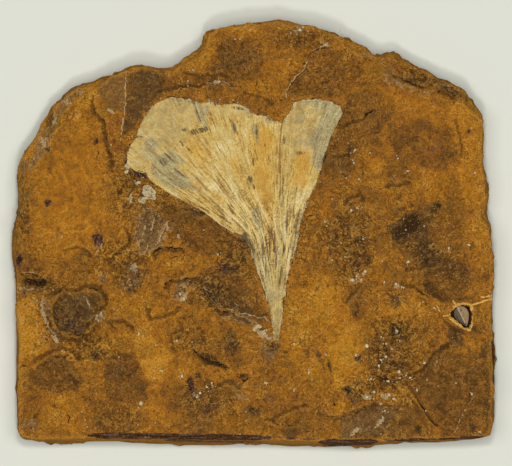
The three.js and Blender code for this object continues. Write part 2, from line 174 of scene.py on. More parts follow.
left_margin = margin(LEFT_MARGIN_PX, 0.05)
right_margin = margin(RIGHT_MARGIN_PX, 0.05)
far_margin = margin(FAR_MARGIN_PX, 0.06)


def picked(places, share):
    """Places at shares of a margin."""
    return np.column_stack([np.interp(share, SAMPLES, places[:, i]) for i in (0, 1)])


def fan(across, out):
    """Places on the leaf, in millimetres. The margins' small strays fade soon inside it."""
    left, right, far = left_margin[0], right_margin[0], far_margin[0]
    chord = left[-1] + np.outer(across, right[-1] - left[-1])
    bulge = (picked(far, across) - chord) * (out**FAN_BEND)[:, None]
    start = picked(left, out)
    places = start + (picked(right, out) - start) * across[:, None] + bulge
    places += picked(left_margin[1], out) * np.exp(-across / SIDE_FADE)[:, None]
    places += picked(right_margin[1], out) * np.exp(-(1 - across) / SIDE_FADE)[:, None]
    return places + picked(far_margin[1], across) * (out**FAR_FADE)[:, None]


edge_shares = np.linspace(0, 1, 60)
nought = np.zeros(60)
leaf_outline = np.vstack([
    fan(nought, edge_shares),
    fan(edge_shares, nought + 1),
    fan(nought + 1, edge_shares)[::-1],
])
print("leaf", np.ptp(leaf_outline, axis=0).round(1), "mm")


# %% [markdown]
# The rock starts as a copy of the CAD slab, merged into one skin. CAD had to cut a bed for the
# leaf's plate. The real leaf is a film on the rock, so the floor of the bed is lifted to just
# under the face. A voxel remesh then turns the long CAD triangles into an even skin that can
# be sculpted. It could also be subdivided, but that would keep the long thin triangles.

# %% The rock as an even skin
LEVEL = 15.0  # height of the split face
BED_FLOOR = 13.85  # height of the CAD bed under the leaf
LIFTED_BED = LEVEL - 0.1  # height of that floor once it is lifted
SKIN = 0.42  # size of the skin's squares
TOUCHING = 0.001 * MM  # vertices this near are the same one


def merged_copy(node):
    """A CAD node as a bmesh, with its loose triangles joined."""
    bm = bmesh.new()
    bm.from_mesh(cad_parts[node].data)
    bmesh.ops.remove_doubles(bm, verts=bm.verts, dist=TOUCHING)
    return bm


def finished(name, bm, replaced=None):
    """A bmesh as a smooth-shaded piece that rides on the part."""
    mesh = bpy.data.meshes.new(name)
    bm.to_mesh(mesh)
    bm.free()
    piece = bpy.data.objects.new(name, mesh)
    scene.collection.objects.link(piece)
    mesh.shade_smooth()
    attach(piece, "root")
    if replaced:
        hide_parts(replaced)
    return piece


def with_modifiers(piece, *changes):
    """Replaces a piece's mesh by what a stack of modifiers makes of it."""
    for kind, settings in changes:
        modifier = piece.modifiers.new(kind.title(), kind)
        for key, value in settings.items():
            setattr(modifier, key, value)
    graph = bpy.context.evaluated_depsgraph_get()
    made = bpy.data.meshes.new_from_object(piece.evaluated_get(graph))
    piece.modifiers.clear()
    old = piece.data
    piece.data = made
    bpy.data.meshes.remove(old)
    made.shade_smooth()


def places_of(mesh):
    """A mesh's vertices and normals as arrays, the vertices in millimetres."""
    co = np.empty(len(mesh.vertices) * 3, dtype=np.float32)
    mesh.vertices.foreach_get("co", co)
    normal = np.empty(len(mesh.vertices) * 3, dtype=np.float32)
    mesh.vertex_normals.foreach_get("vector", normal)
    return co.reshape(-1, 3).astype(float) / MM, normal.reshape(-1, 3).astype(float)


def put_places(mesh, places):
    """Writes vertices, in millimetres, back into a mesh."""
    mesh.vertices.foreach_set("co", (places * MM).astype(np.float32).ravel())
    mesh.update()


def weigh(piece, name, weights):
    """Stores a weight from 0 to 1 per vertex as a vertex group."""
    group = piece.vertex_groups.new(name=name)
    levels = np.round(np.clip(weights, 0, 1), 1)
    for level in np.unique(levels[levels > 0]):
        group.add(np.flatnonzero(levels == level).tolist(), float(level), "REPLACE")
    return name


skin = merged_copy("slab")
for vertex in skin.verts:
    if abs(vertex.co.z / MM - BED_FLOOR) < 0.02:
        vertex.co.z = LIFTED_BED * MM
slab = finished("siltstone_slab", skin, "slab")
with_modifiers(slab, ("REMESH", {"mode": "VOXEL", "voxel_size": SKIN * MM}))
print("skin", len(slab.data.vertices), "vertices")

# %% [markdown]
# The face needs small squares, because its cracks and stains are fine. The sides, the back and
# the rock hidden by the leaf don't, so there a Decimate modifier, guided by a vertex group,
# takes most of the squares away. Then the Smooth modifier melts the facets of the CAD solid,
# strongly on the broad faces and a little along the rims.

# %% Fewer squares where nobody looks, and softer facets
SEED_MIDDLE = (51.95, -20.4)
FACE_FROM = 11.0  # what looks up above this height belongs to the face
SIDES_TO = 8.0  # up to this height there are only the sides and the back
SAWN_FROM = -48.0  # beyond this y lies the lower sawn side
KEPT_SHARE = 0.43  # how much of the skin the Decimate modifier leaves


def near_seed(places, radius):
    """1 at the seed, 0 from a radius away."""
    away = np.hypot(places[:, 0] - SEED_MIDDLE[0], places[:, 1] - SEED_MIDDLE[1])
    return 1 - smooth(away, radius - 1, radius)


places, normals = places_of(slab.data)
leaf_gap, _, _ = away_from(leaf_outline, places[:, 0], places[:, 1])
under_leaf = within(leaf_outline, places[:, 0], places[:, 1]) & (leaf_gap > 1.2)
is_face = (places[:, 2] > FACE_FROM) & (normals[:, 2] > 0.25)
is_sawn = (places[:, 1] < SAWN_FROM) & (places[:, 2] > 5) & (normals[:, 2] > -0.3)
spare = np.where((is_face & ~under_leaf) | is_sawn, 0.0, 1.0)
weigh(slab, "spare", spare)
with_modifiers(
    slab,
    ("DECIMATE", {"ratio": KEPT_SHARE, "vertex_group": "spare", "vertex_group_factor": 10.0}),
)
print("thinned to", sum(len(face.vertices) - 2 for face in slab.data.polygons), "triangles")

places, normals = places_of(slab.data)
broad_faces = smooth(np.abs(normals[:, 2]), 0.75, 0.95) * (1 - near_seed(places, 6))
weigh(slab, "all", 1 - 0.8 * near_seed(places, 5))
weigh(slab, "broad", broad_faces)
with_modifiers(
    slab,
    ("SMOOTH", {"factor": 0.5, "iterations": 5, "vertex_group": "all"}),
    ("SMOOTH", {"factor": 0.5, "iterations": 40, "vertex_group": "broad"}),
)

# %% [markdown]
# Next the marks that stand out of or go into the face: steps between layers, cracks, and
# crusts that mineral water left. Each is a short broken line with a size. The mesh is
# subdivided along them, so that a crack a third of a millimetre wide has vertices to bend.

# %% Steps of the face
# Each step: drop in mm, reach of the lowered ground in mm, side that is low (1 left, -1 right
# of the way along), how dark the shadow painted at its foot is, and its line.
STEPS_PX = [
    (0.9, 3.5, -1, 1.3, [(160, 290), (165, 283), (172, 279), (184, 278), (197, 277), (206, 281)]),
    (0.8, 2.5, -1, 0.9, [
        (200, 284), (206, 294), (212, 305), (219, 310), (229, 313), (242, 318), (256, 324)]),
    (0.9, 2.2, -1, 1.5, [(149, 254), (156, 250), (165, 247), (176, 248), (189, 249)]),
    (0.7, 2.2, -1, 1.0, [(102, 259), (112, 256), (120, 248), (127, 243), (129, 236), (122, 228)]),
    (0.9, 2.2, 1, 1.0, [
        (50, 301), (57, 293), (65, 290), (76, 293), (86, 288), (97, 290), (105, 298), (103, 305),
        (97, 309), (92, 307)]),
    (0.9, 2.0, 1, 0.9, [
        (96, 322), (90, 333), (78, 339), (64, 337), (54, 330), (48, 316), (50, 304)]),
    (0.6, 2.2, -1, 0.7, [(105, 323), (114, 318), (125, 319), (132, 325), (136, 335)]),
    (0.8, 3.0, -1, 0.8, [
        (97, 90), (94, 101), (96, 112), (103, 120), (107, 132), (110, 146), (113, 164), (115, 176)]),
    (0.7, 3.0, 1, 0.7, [(33, 368), (38, 362), (47, 356), (60, 350), (72, 353), (80, 364)]),
    (0.6, 2.5, -1, 0.5, [(20, 273), (30, 274), (42, 277), (50, 284)]),
    (0.6, 1.6, -1, 1.2, [(20, 279), (32, 280), (46, 283)]),
    (0.6, 2.0, 1, 0.8, [(144, 304), (146, 316), (150, 322), (161, 319), (176, 313), (185, 303)]),
    (0.7, 2.2, -1, 1.3, [(190, 348), (198, 354), (206, 360), (216, 363), (231, 369)]),
    (0.6, 2.4, 1, 0.8, [
        (150, 96), (168, 91), (180, 87), (205, 86), (222, 82), (234, 86), (246, 89)]),
    (0.4, 2.5, -1, 0.5, [(180, 70), (200, 74), (218, 73), (236, 77)]),
    (0.4, 3.0, 1, 0.5, [
        (287, 98), (289, 91), (295, 80), (304, 71), (309, 61), (312, 51), (322, 48), (332, 46)]),
    (0.6, 3.0, -1, 1.0, [(392, 74), (404, 79), (416, 84), (426, 89)]),
    (0.5, 2.0, 1, 0.9, [(343, 129), (352, 124), (362, 122), (370, 114), (376, 108)]),
    (0.6, 3.0, 1, 0.8, [
        (404, 384), (408, 388), (412, 394), (420, 405), (425, 416), (432, 423), (441, 429)]),
    (0.5, 3.0, -1, 0.7, [
        (369, 371), (382, 378), (396, 380), (410, 374), (422, 368), (430, 356), (438, 348),
        (452, 338)]),
    (0.5, 2.5, 1, 0.9, [(398, 287), (413, 289), (422, 292), (430, 298)]),
    (0.4, 2.5, 1, 0.6, [(422, 281), (428, 293), (440, 302), (450, 304)]),
    (0.5, 2.5, 1, 0.5, [(400, 273), (420, 271), (436, 266), (445, 257)]),
    (0.4, 2.5, -1, 0.4, [
        (160, 190), (176, 200), (196, 211), (212, 221), (230, 234), (244, 242), (250, 252)]),
    (0.4, 2.0, 1, 0.6, [(204, 393), (214, 388), (228, 384), (243, 391)]),
    (0.4, 2.0, 1, 0.7, [(262, 421), (274, 421), (283, 416), (297, 409), (312, 405)]),
    (0.3, 2.0, -1, 0.5, [
        (317, 403), (321, 412), (330, 415), (340, 416), (352, 411), (370, 404), (380, 402)]),
    (0.3, 2.0, 1, 0.4, [(452, 117), (457, 130), (460, 146), (459, 160)]),
    (0.4, 1.6, -1, 0.8, [(68, 372), (75, 378), (82, 383)]),
    (0.3, 2.0, 1, 0.5, [(236, 244), (226, 240), (214, 240)]),
    (0.3, 2.0, -1, 0.5, [(60, 250), (70, 246), (80, 247), (96, 255)]),
    (0.3, 2.2, 1, 0.4, [(344, 205), (352, 200), (366, 196)]),
    (0.3, 2.2, -1, 0.5, [(352, 238), (362, 236), (372, 240)]),
    (0.3, 2.2, 1, 0.4, [(404, 396), (412, 402), (414, 412)]),
    (0.3, 1.8, 1, 0.5, [(344, 305), (352, 298), (358, 290), (362, 284)]),
    (0.4, 2.0, 1, 0.6, [(382, 189), (392, 187), (404, 186), (412, 184)]),
    (0.3, 2.0, -1, 0.5, [(328, 156), (340, 153), (352, 152)]),
    (0.3, 2.2, 1, 0.5, [(180, 352), (174, 344), (174, 336), (182, 332), (191, 338)]),
    (0.3, 2.2, -1, 0.4, [(240, 92), (256, 94), (268, 98), (278, 106)]),
    (0.4, 2.0, 1, 0.5, [(256, 330), (262, 334), (272, 342)]),
]

# %% [markdown]
# A crack is a narrow groove, and a crust is the opposite, a narrow pale ridge.

# %% Cracks and crusts of the face
# Each crack: depth in mm, half width in mm, and its line.
CRACKS_PX = [
    (0.3, 0.30, [(240, 377), (244, 380), (249, 376)]),
    (0.3, 0.20, [(59, 360), (66, 356), (72, 354)]),
    (0.3, 0.26, [(18, 366), (24, 364), (30, 366)]),
    (0.4, 0.26, [(425, 417), (432, 423), (440, 429)]),
    (0.3, 0.22, [(370, 372), (383, 378), (394, 379)]),
    (0.35, 0.40, [(363, 118), (369, 113), (375, 109)]),
    (0.3, 0.18, [(370, 131), (377, 132), (385, 129)]),
    (0.2, 0.13, [(291, 89), (297, 78), (306, 68), (310, 58)]),
    (0.3, 0.26, [(311, 51), (319, 49), (328, 47)]),
    (0.3, 0.24, [(413, 289), (421, 292), (428, 296)]),
    (0.2, 0.18, [(448, 229), (455, 228), (462, 226)]),
    (0.2, 0.16, [(176, 206), (196, 211), (204, 216)]),
    (0.2, 0.12, [(160, 262), (172, 258), (184, 253)]),
    (0.15, 0.12, [(311, 97), (318, 90), (325, 82), (330, 81), (328, 85)]),
    (0.15, 0.12, [(317, 97), (322, 93), (327, 88)]),
    (0.2, 0.14, [(95, 147), (98, 152), (97, 160)]),
    (0.2, 0.14, [(258, 78), (256, 88), (262, 96)]),
    (0.2, 0.14, [(300, 62), (306, 65), (304, 60)]),
    (0.2, 0.14, [(438, 190), (446, 186), (452, 188)]),
    (0.2, 0.18, [(418, 400), (422, 408), (424, 416)]),
    (0.2, 0.14, [(332, 395), (333, 402), (336, 410)]),
    (0.15, 0.14, [(66, 409), (70, 418), (66, 426)]),
    (0.2, 0.16, [(22, 222), (20, 214), (17, 208)]),
    (0.2, 0.16, [(300, 228), (306, 220), (318, 213)]),
    (0.2, 0.12, [(186, 348), (190, 342), (194, 350), (192, 356)]),
]
# Each crust: height in mm, half width in mm, how pale it is, and its line.
CRUSTS_PX = [
    (0.10, 0.16, 0.7, [(202, 287), (214, 293), (226, 299), (238, 305)]),
    (0.12, 0.14, 1.0, [
        (200, 292), (212, 301), (222, 308), (236, 312), (252, 316), (266, 318), (271, 324)]),
    (0.10, 0.12, 0.5, [(216, 303), (228, 306), (240, 304), (247, 306)]),
    (0.12, 0.20, 0.8, [
        (287, 98), (286, 92), (291, 84), (296, 77), (302, 72), (307, 63), (309, 57)]),
    (0.12, 0.16, 0.7, [(287, 98), (290, 102), (294, 104)]),
    (0.15, 0.26, 0.6, [(312, 50), (318, 48), (323, 45), (329, 45)]),
    (0.12, 0.20, 1.0, [(128, 70), (126, 80), (125, 88), (124.6, 110), (122, 128), (120, 142)]),
    (0.10, 0.14, 0.6, [(96, 255), (104, 258), (112, 256)]),
    (0.10, 0.16, 0.8, [(124, 250), (133, 252), (139, 255), (143, 253), (148, 246)]),
    (0.10, 0.20, 0.8, [(104, 240), (102, 247), (97, 252)]),
    (0.10, 0.16, 0.6, [(128, 205), (129, 218), (131, 224), (130, 232)]),
    (0.10, 0.14, 0.6, [(134, 215), (138, 208), (143, 204)]),
    (0.10, 0.14, 0.6, [(138, 246), (143, 232), (148, 218)]),
    (0.10, 0.14, 0.6, [(148, 244), (153, 228), (157, 214)]),
    (0.10, 0.18, 0.7, [(156, 246), (162, 232), (168, 222)]),
    (0.10, 0.16, 0.7, [(82, 296), (88, 303), (92, 311)]),
    (0.10, 0.12, 0.6, [(135, 303), (146, 304), (157, 302)]),
    (0.10, 0.12, 0.6, [(112, 303), (120, 305), (126, 304)]),
    (0.18, 0.40, 0.55, [(44, 297), (41, 306), (44, 318), (50, 330), (58, 341)]),
    (0.14, 0.30, 0.45, [(38, 300), (35, 312), (38, 328), (48, 340)]),
    (0.15, 0.24, 0.5, [(20, 272), (28, 273), (40, 275)]),
    (0.12, 0.24, 0.8, [(206, 85), (215, 82), (222, 81), (229, 83), (234, 86)]),
    (0.10, 0.16, 0.6, [(164, 95), (176, 91), (188, 86), (205, 86)]),
    (0.10, 0.22, 0.6, [(475, 396), (470, 404), (463, 414), (459, 423), (455, 432)]),
    (0.10, 0.14, 0.6, [(252, 264), (261, 289), (266, 300)]),
    (0.08, 0.12, 0.5, [(206, 412), (211, 421), (217, 427)]),
    (0.08, 0.12, 0.5, [(210, 420), (216, 416), (221, 408)]),
    (0.12, 0.30, 0.35, [(344, 52), (348, 60), (347, 72), (344, 82)]),
    (0.10, 0.14, 0.5, [(337, 98), (342, 104), (341, 109)]),
    (0.10, 0.14, 0.5, [(310, 226), (316, 227), (317, 233)]),
    (0.12, 0.16, 0.7, [(260, 385), (265, 383), (268, 382)]),
    (0.10, 0.14, 0.6, [(118, 178), (130, 183), (142, 178)]),
    (0.10, 0.14, 0.6, [(130, 200), (140, 203), (150, 203)]),
    (0.10, 0.12, 0.5, [(48, 154), (53, 140), (54, 122), (62, 114), (71, 103), (77, 90)]),
    (0.10, 0.14, 0.5, [(165, 348), (160, 342), (152, 340), (147, 345)]),
    (0.10, 0.14, 0.5, [(46, 425), (50, 420), (58, 420), (64, 426), (60, 432), (50, 432)]),
]

# %% [markdown]
# The seed's pocket has a rim of yellow crust, from which a few thin veins run out. The squares of
# the face are halved along every crack, crust and vein, and once more along that rim, because it
# climbs the pocket's steep wall.

# %% The seed's rim, and finer squares along the lines
SEED_RIM_PX = [
    (448, 315.2), (449.6, 311.6), (452.4, 307.9), (457.2, 304.4), (464, 303.2), (470, 304.2),
    (472.6, 308), (472.8, 317.5), (472, 325.5), (469.8, 330.8), (464.4, 328.8), (459.2, 325.8),
    (454.2, 322.4), (449.8, 318.4), (448, 315.2),
]
# Each vein: half width in mm, and its line.
SEED_VEINS_PX = [
    (0.22, [(472, 305), (480, 302.6), (488, 300), (493, 299)]),
    (0.20, [(481, 297), (485, 297.4), (489, 296.4), (492, 296)]),
    (0.26, [(457, 305), (454, 302.4), (453.4, 301)]),
    (0.20, [(448.7, 315.6), (443.4, 315.8)]),
    (0.18, [(440, 311.6), (436.6, 306.6)]),
]

fine_lines = [line for *_, line in CRACKS_PX + CRUSTS_PX + SEED_VEINS_PX] + [SEED_RIM_PX]


def refine(piece, lines, reach):
    """Halves the face's squares within a reach, in millimetres, of some lines."""
    skin = bmesh.new()
    skin.from_mesh(piece.data)
    skin.faces.ensure_lookup_table()
    cx, cy, cz = (np.array([face.calc_center_median() for face in skin.faces]) / MM).T
    up = np.array([face.normal.z for face in skin.faces])
    gap = np.min([away_from(spots(line), cx, cy)[0] for line in lines], axis=0)
    wanted = (gap < reach) & (up > 0.1) & (cz > FACE_FROM)
    edges = {edge for index in np.flatnonzero(wanted) for edge in skin.faces[index].edges}
    bmesh.ops.subdivide_edges(skin, edges=list(edges), cuts=1, use_grid_fill=True)
    skin.to_mesh(piece.data)
    skin.free()
    piece.data.shade_smooth()


refine(slab, fine_lines, 0.65)
refine(slab, [SEED_RIM_PX], 0.45)
print("with fine lines", sum(len(face.vertices) - 2 for face in slab.data.polygons), "triangles")

# %% [markdown]
# The rock's colours come before its relief. They are kept as soft masks, one number per vertex,
# and the material later breaks their edges up with fine noise. Painting them on an image would be
# the other way, but masks worked out from a few blobs stay editable and need no picture.
# Split siltstone breaks into plates, and each has its own colour, with a fairly sharp edge.

# %% Plates of the face
# Each plate: the mask, its strength, and its outline.
PLATES_PX = [
    ("smoke", 0.55, [
        (99, 82), (112, 76), (127, 74), (126, 90), (124, 112), (112, 108), (102, 101), (97, 92)]),
    ("umber", 0.7, [
        (129, 74), (140, 70), (158, 68), (165, 73), (164, 90), (152, 104), (140, 118), (130, 130),
        (123, 138), (125, 112), (127, 90)]),
    ("smoke", 0.45, [
        (129, 74), (140, 70), (158, 68), (165, 73), (164, 90), (152, 104), (140, 118), (130, 130)]),
    ("ash", 0.2, [
        (99, 82), (127, 73), (158, 68), (165, 73), (164, 90), (152, 104), (130, 130), (123, 138),
        (124, 112), (112, 108), (97, 92)]),
    ("tone", -0.55, [
        (140, 69), (176, 78), (206, 76), (236, 80), (248, 90), (240, 93), (210, 90), (178, 92),
        (160, 98), (150, 104)]),
    ("tone", -0.6, [
        (205, 62), (222, 42), (250, 36), (262, 52), (262, 76), (246, 82), (222, 76), (206, 72)]),
    ("tone", -0.5, [
        (288, 97), (290, 89), (296, 79), (304, 70), (309, 60), (313, 52), (328, 47), (344, 52),
        (347, 62), (345, 80), (342, 97), (318, 94), (300, 98)]),
    ("tone", -0.5, [
        (345, 100), (366, 88), (392, 96), (398, 112), (384, 124), (378, 140), (360, 150),
        (352, 172), (330, 180), (322, 172), (330, 150), (338, 130)]),
    ("tone", -0.6, [
        (158, 192), (180, 202), (204, 214), (224, 228), (244, 242), (250, 256), (246, 262),
        (226, 256), (204, 256), (190, 250), (176, 240), (168, 222), (160, 206)]),
    ("umber", 0.12, [
        (158, 192), (180, 202), (204, 214), (224, 228), (238, 240), (228, 244), (204, 240),
        (186, 236), (170, 222), (160, 206)]),
    ("tone", -0.7, [
        (200, 272), (222, 262), (240, 264), (252, 276), (258, 290), (264, 308), (270, 322),
        (256, 322), (232, 312), (214, 304), (204, 288)]),
    ("umber", 0.35, [
        (200, 274), (214, 278), (228, 290), (240, 300), (262, 306), (270, 320), (256, 322),
        (232, 312), (214, 304), (204, 290)]),
    ("umber", 0.42, [
        (53, 302), (60, 294), (74, 294), (84, 292), (96, 292), (104, 300), (102, 312), (94, 322),
        (90, 332), (78, 338), (64, 336), (54, 329), (48, 316)]),
    ("smoke", 0.5, [
        (53, 302), (60, 294), (74, 294), (84, 292), (92, 300), (92, 320), (88, 332), (78, 338),
        (64, 336), (54, 329), (48, 316)]),
    ("tone", -0.75, [
        (33, 372), (40, 362), (50, 356), (60, 351), (70, 358), (78, 370), (84, 382), (76, 390),
        (60, 393), (44, 392), (34, 384)]),
    ("umber", 0.25, [
        (35, 372), (42, 363), (52, 358), (64, 358), (74, 368), (80, 382), (70, 388), (50, 390),
        (36, 384)]),
    ("tone", -0.6, [
        (104, 358), (120, 350), (138, 356), (143, 372), (150, 384), (146, 398), (128, 404),
        (110, 400), (104, 384)]),
    ("umber", 0.2, [
        (106, 362), (120, 352), (132, 360), (140, 376), (148, 386), (142, 396), (124, 398),
        (110, 390)]),
    ("tone", -0.3, [
        (94, 398), (112, 402), (136, 404), (144, 416), (140, 430), (110, 434), (92, 430)]),
    ("tone", -0.1, [
        (190, 390), (206, 386), (232, 384), (252, 390), (262, 404), (266, 420), (262, 432),
        (190, 430), (176, 418), (182, 400)]),
    ("tone", -0.3, [
        (262, 410), (282, 404), (310, 404), (336, 412), (340, 432), (300, 438), (262, 434)]),
    ("tone", -0.6, [
        (408, 387), (413, 395), (421, 406), (426, 417), (432, 424), (440, 429), (440, 440),
        (490, 438), (490, 400), (488, 372), (480, 352), (470, 345), (457, 340), (437, 348),
        (421, 368), (410, 378)]),
    ("smoke", 0.22, [
        (412, 392), (426, 414), (442, 430), (478, 430), (486, 400), (480, 370), (462, 350),
        (438, 356), (424, 372), (412, 382)]),
    ("smoke", 0.2, [
        (338, 418), (356, 411), (380, 404), (398, 403), (396, 416), (380, 436), (340, 436)]),
    ("smoke", 0.3, [
        (338, 414), (352, 411), (372, 404), (396, 402), (412, 402), (420, 436), (340, 438)]),
    ("tone", -0.6, [
        (338, 414), (352, 411), (372, 404), (396, 402), (412, 402), (422, 412), (430, 424),
        (436, 438), (340, 438)]),
    ("tone", -0.6, [
        (425, 268), (448, 258), (464, 262), (470, 280), (468, 300), (450, 302), (432, 298),
        (424, 284)]),
    ("umber", 0.3, [
        (448, 322), (460, 330), (474, 332), (478, 312), (490, 312), (491, 330), (478, 336),
        (462, 334), (462, 346), (450, 344)]),
    ("umber", 0.5, [
        (385, 226), (398, 222), (410, 212), (424, 206), (434, 200), (440, 206), (432, 220),
        (428, 236), (440, 252), (446, 262), (436, 272), (418, 268), (408, 256), (404, 244),
        (392, 240)]),
    ("tone", -0.4, [
        (395, 125), (420, 118), (452, 128), (458, 150), (448, 170), (420, 168), (398, 160),
        (388, 140)]),
    ("tone", 0.45, [
        (450, 108), (466, 98), (482, 116), (484, 150), (488, 180), (490, 204), (470, 210),
        (458, 190), (460, 165), (458, 140), (450, 124)]),
    ("tone", 0.2, [
        (30, 165), (50, 140), (56, 118), (78, 92), (96, 98), (98, 120), (110, 150), (112, 190),
        (104, 230), (80, 250), (40, 262), (24, 240), (26, 190)]),
    ("tone", 0.6, [(16, 300), (34, 296), (40, 310), (48, 332), (50, 350), (36, 356), (16, 364)]),
    ("tone", 0.45, [
        (100, 300), (118, 290), (144, 296), (162, 302), (164, 318), (150, 330), (140, 344),
        (118, 336), (108, 322)]),
    ("tone", 0.4, [(135, 335), (160, 338), (170, 352), (164, 376), (150, 382), (138, 362)]),
    ("tone", 0.4, [
        (286, 300), (320, 272), (346, 290), (352, 320), (372, 336), (380, 360), (366, 374),
        (352, 392), (344, 408), (332, 430), (326, 410), (318, 390), (300, 372), (286, 350),
        (280, 330)]),
    ("tone", 0.45, [
        (206, 36), (222, 36), (216, 50), (220, 62), (204, 70), (186, 70), (176, 62), (192, 54),
        (204, 46)]),
    ("tone", 0.45, [
        (22, 176), (28, 150), (38, 130), (48, 112), (60, 96), (78, 84), (88, 90), (74, 104),
        (63, 118), (56, 132), (50, 150), (38, 166)]),
    ("ash", 0.6, [
        (28, 168), (34, 150), (42, 130), (52, 112), (62, 98), (78, 86), (84, 92), (72, 104),
        (62, 116), (54, 130), (50, 148), (40, 160), (30, 168)]),
    ("ash", 0.9, [
        (136, 216), (144, 206), (156, 208), (166, 222), (164, 244), (150, 254), (138, 252),
        (134, 236)]),
    ("rust", 0.8, [
        (98, 104), (116, 116), (122, 140), (122, 164), (112, 172), (108, 146), (103, 122)]),
]

# %% [markdown]
# Softer stains are blobs, which overlap and add up. Ochre and brown ones make the tone lighter and
# darker. The others each have a mask of their own.

# %% Stains of the face
# Each blob: middle, two radii, strength and, if it is turned, the turn in degrees.
OCHRE_PX = [
    (86, 100, 13, 12, 0.6), (68, 351, 8, 6, 1.1), (85, 357, 8, 6, 1.1), (155, 415, 15, 14, 0.5),
    (60, 412, 18, 16, 0.5), (222, 335, 16, 10, 0.4), (340, 415, 7, 12, 0.5),
    (350, 355, 14, 12, 0.4), (318, 372, 10, 8, 0.3), (325, 285, 16, 16, 0.2),
    (478, 240, 9, 30, 0.45), (405, 312, 22, 13, 0.45), (207, 58, 8, 8, 0.3),
    (250, 29, 20, 5, 0.5, 8), (284, 66, 9, 13, 0.5), (257, 90, 18, 8, 0.35),
    (249, 286, 5, 12, 0.7, -20), (235, 373, 22, 6, 0.6), (118, 190, 14, 16, 0.3),
    (400, 100, 20, 9, 0.35, 20), (376, 165, 9, 6, 0.8), (382, 183, 12, 5, 0.6),
    (424, 180, 16, 8, 0.35), (325, 205, 6, 14, 0.6), (22, 345, 5, 40, 0.3),
    (186, 268, 20, 10, 0.35), (72, 250, 18, 7, 0.4), (175, 365, 14, 10, 0.3),
    (100, 344, 16, 5, 0.5), (395, 395, 20, 9, 0.4), (424, 345, 16, 12, 0.25),
    (395, 260, 14, 8, 0.35), (340, 172, 8, 4, 0.5), (47, 125, 6, 5, 0.5), (258, 72, 10, 12, 0.3),
    (430, 60, 6, 8, 0.2), (300, 270, 10, 12, 0.3), (465, 345, 14, 6, 0.4), (350, 410, 4, 6, 0.3),
    (338, 372, 8, 24, 0.6), (345, 340, 9, 12, 0.5), (412, 300, 12, 10, 0.3), (30, 322, 10, 22, 0.4),
    (150, 360, 12, 26, 0.4), (270, 300, 6, 16, 0.2), (322, 300, 14, 16, 0.3),
    (380, 330, 14, 8, 0.3), (300, 330, 10, 18, 0.3),
]
BROWN_PX = [
    (238, 60, 22, 14, 0.2), (300, 38, 28, 8, 0.35), (455, 395, 30, 26, 0.2),
    (398, 172, 16, 16, 0.5), (335, 235, 20, 16, 0.35), (352, 300, 10, 16, 0.5),
    (104, 410, 14, 14, 0.35), (30, 400, 9, 22, 0.35), (350, 200, 16, 10, 0.35),
    (425, 238, 36, 34, 0.35), (180, 395, 16, 12, 0.35), (225, 345, 10, 18, 0.6),
    (210, 97, 34, 4, 0.35), (491, 385, 6, 44, 0.8), (452, 215, 12, 22, 0.3), (330, 392, 8, 16, 0.4),
    (375, 48, 18, 8, 0.5, 30), (445, 88, 20, 6, 0.6, 25), (268, 352, 8, 14, 0.5),
    (366, 250, 12, 16, 0.35), (420, 330, 20, 8, 0.3), (130, 60, 10, 6, 0.2),
    (90, 160, 10, 10, 0.15), (455, 62, 10, 12, 0.2), (352, 70, 10, 14, 0.3),
    (196, 320, 14, 6, 0.3, 20), (300, 190, 10, 10, 0.2), (110, 225, 10, 8, 0.2),
]
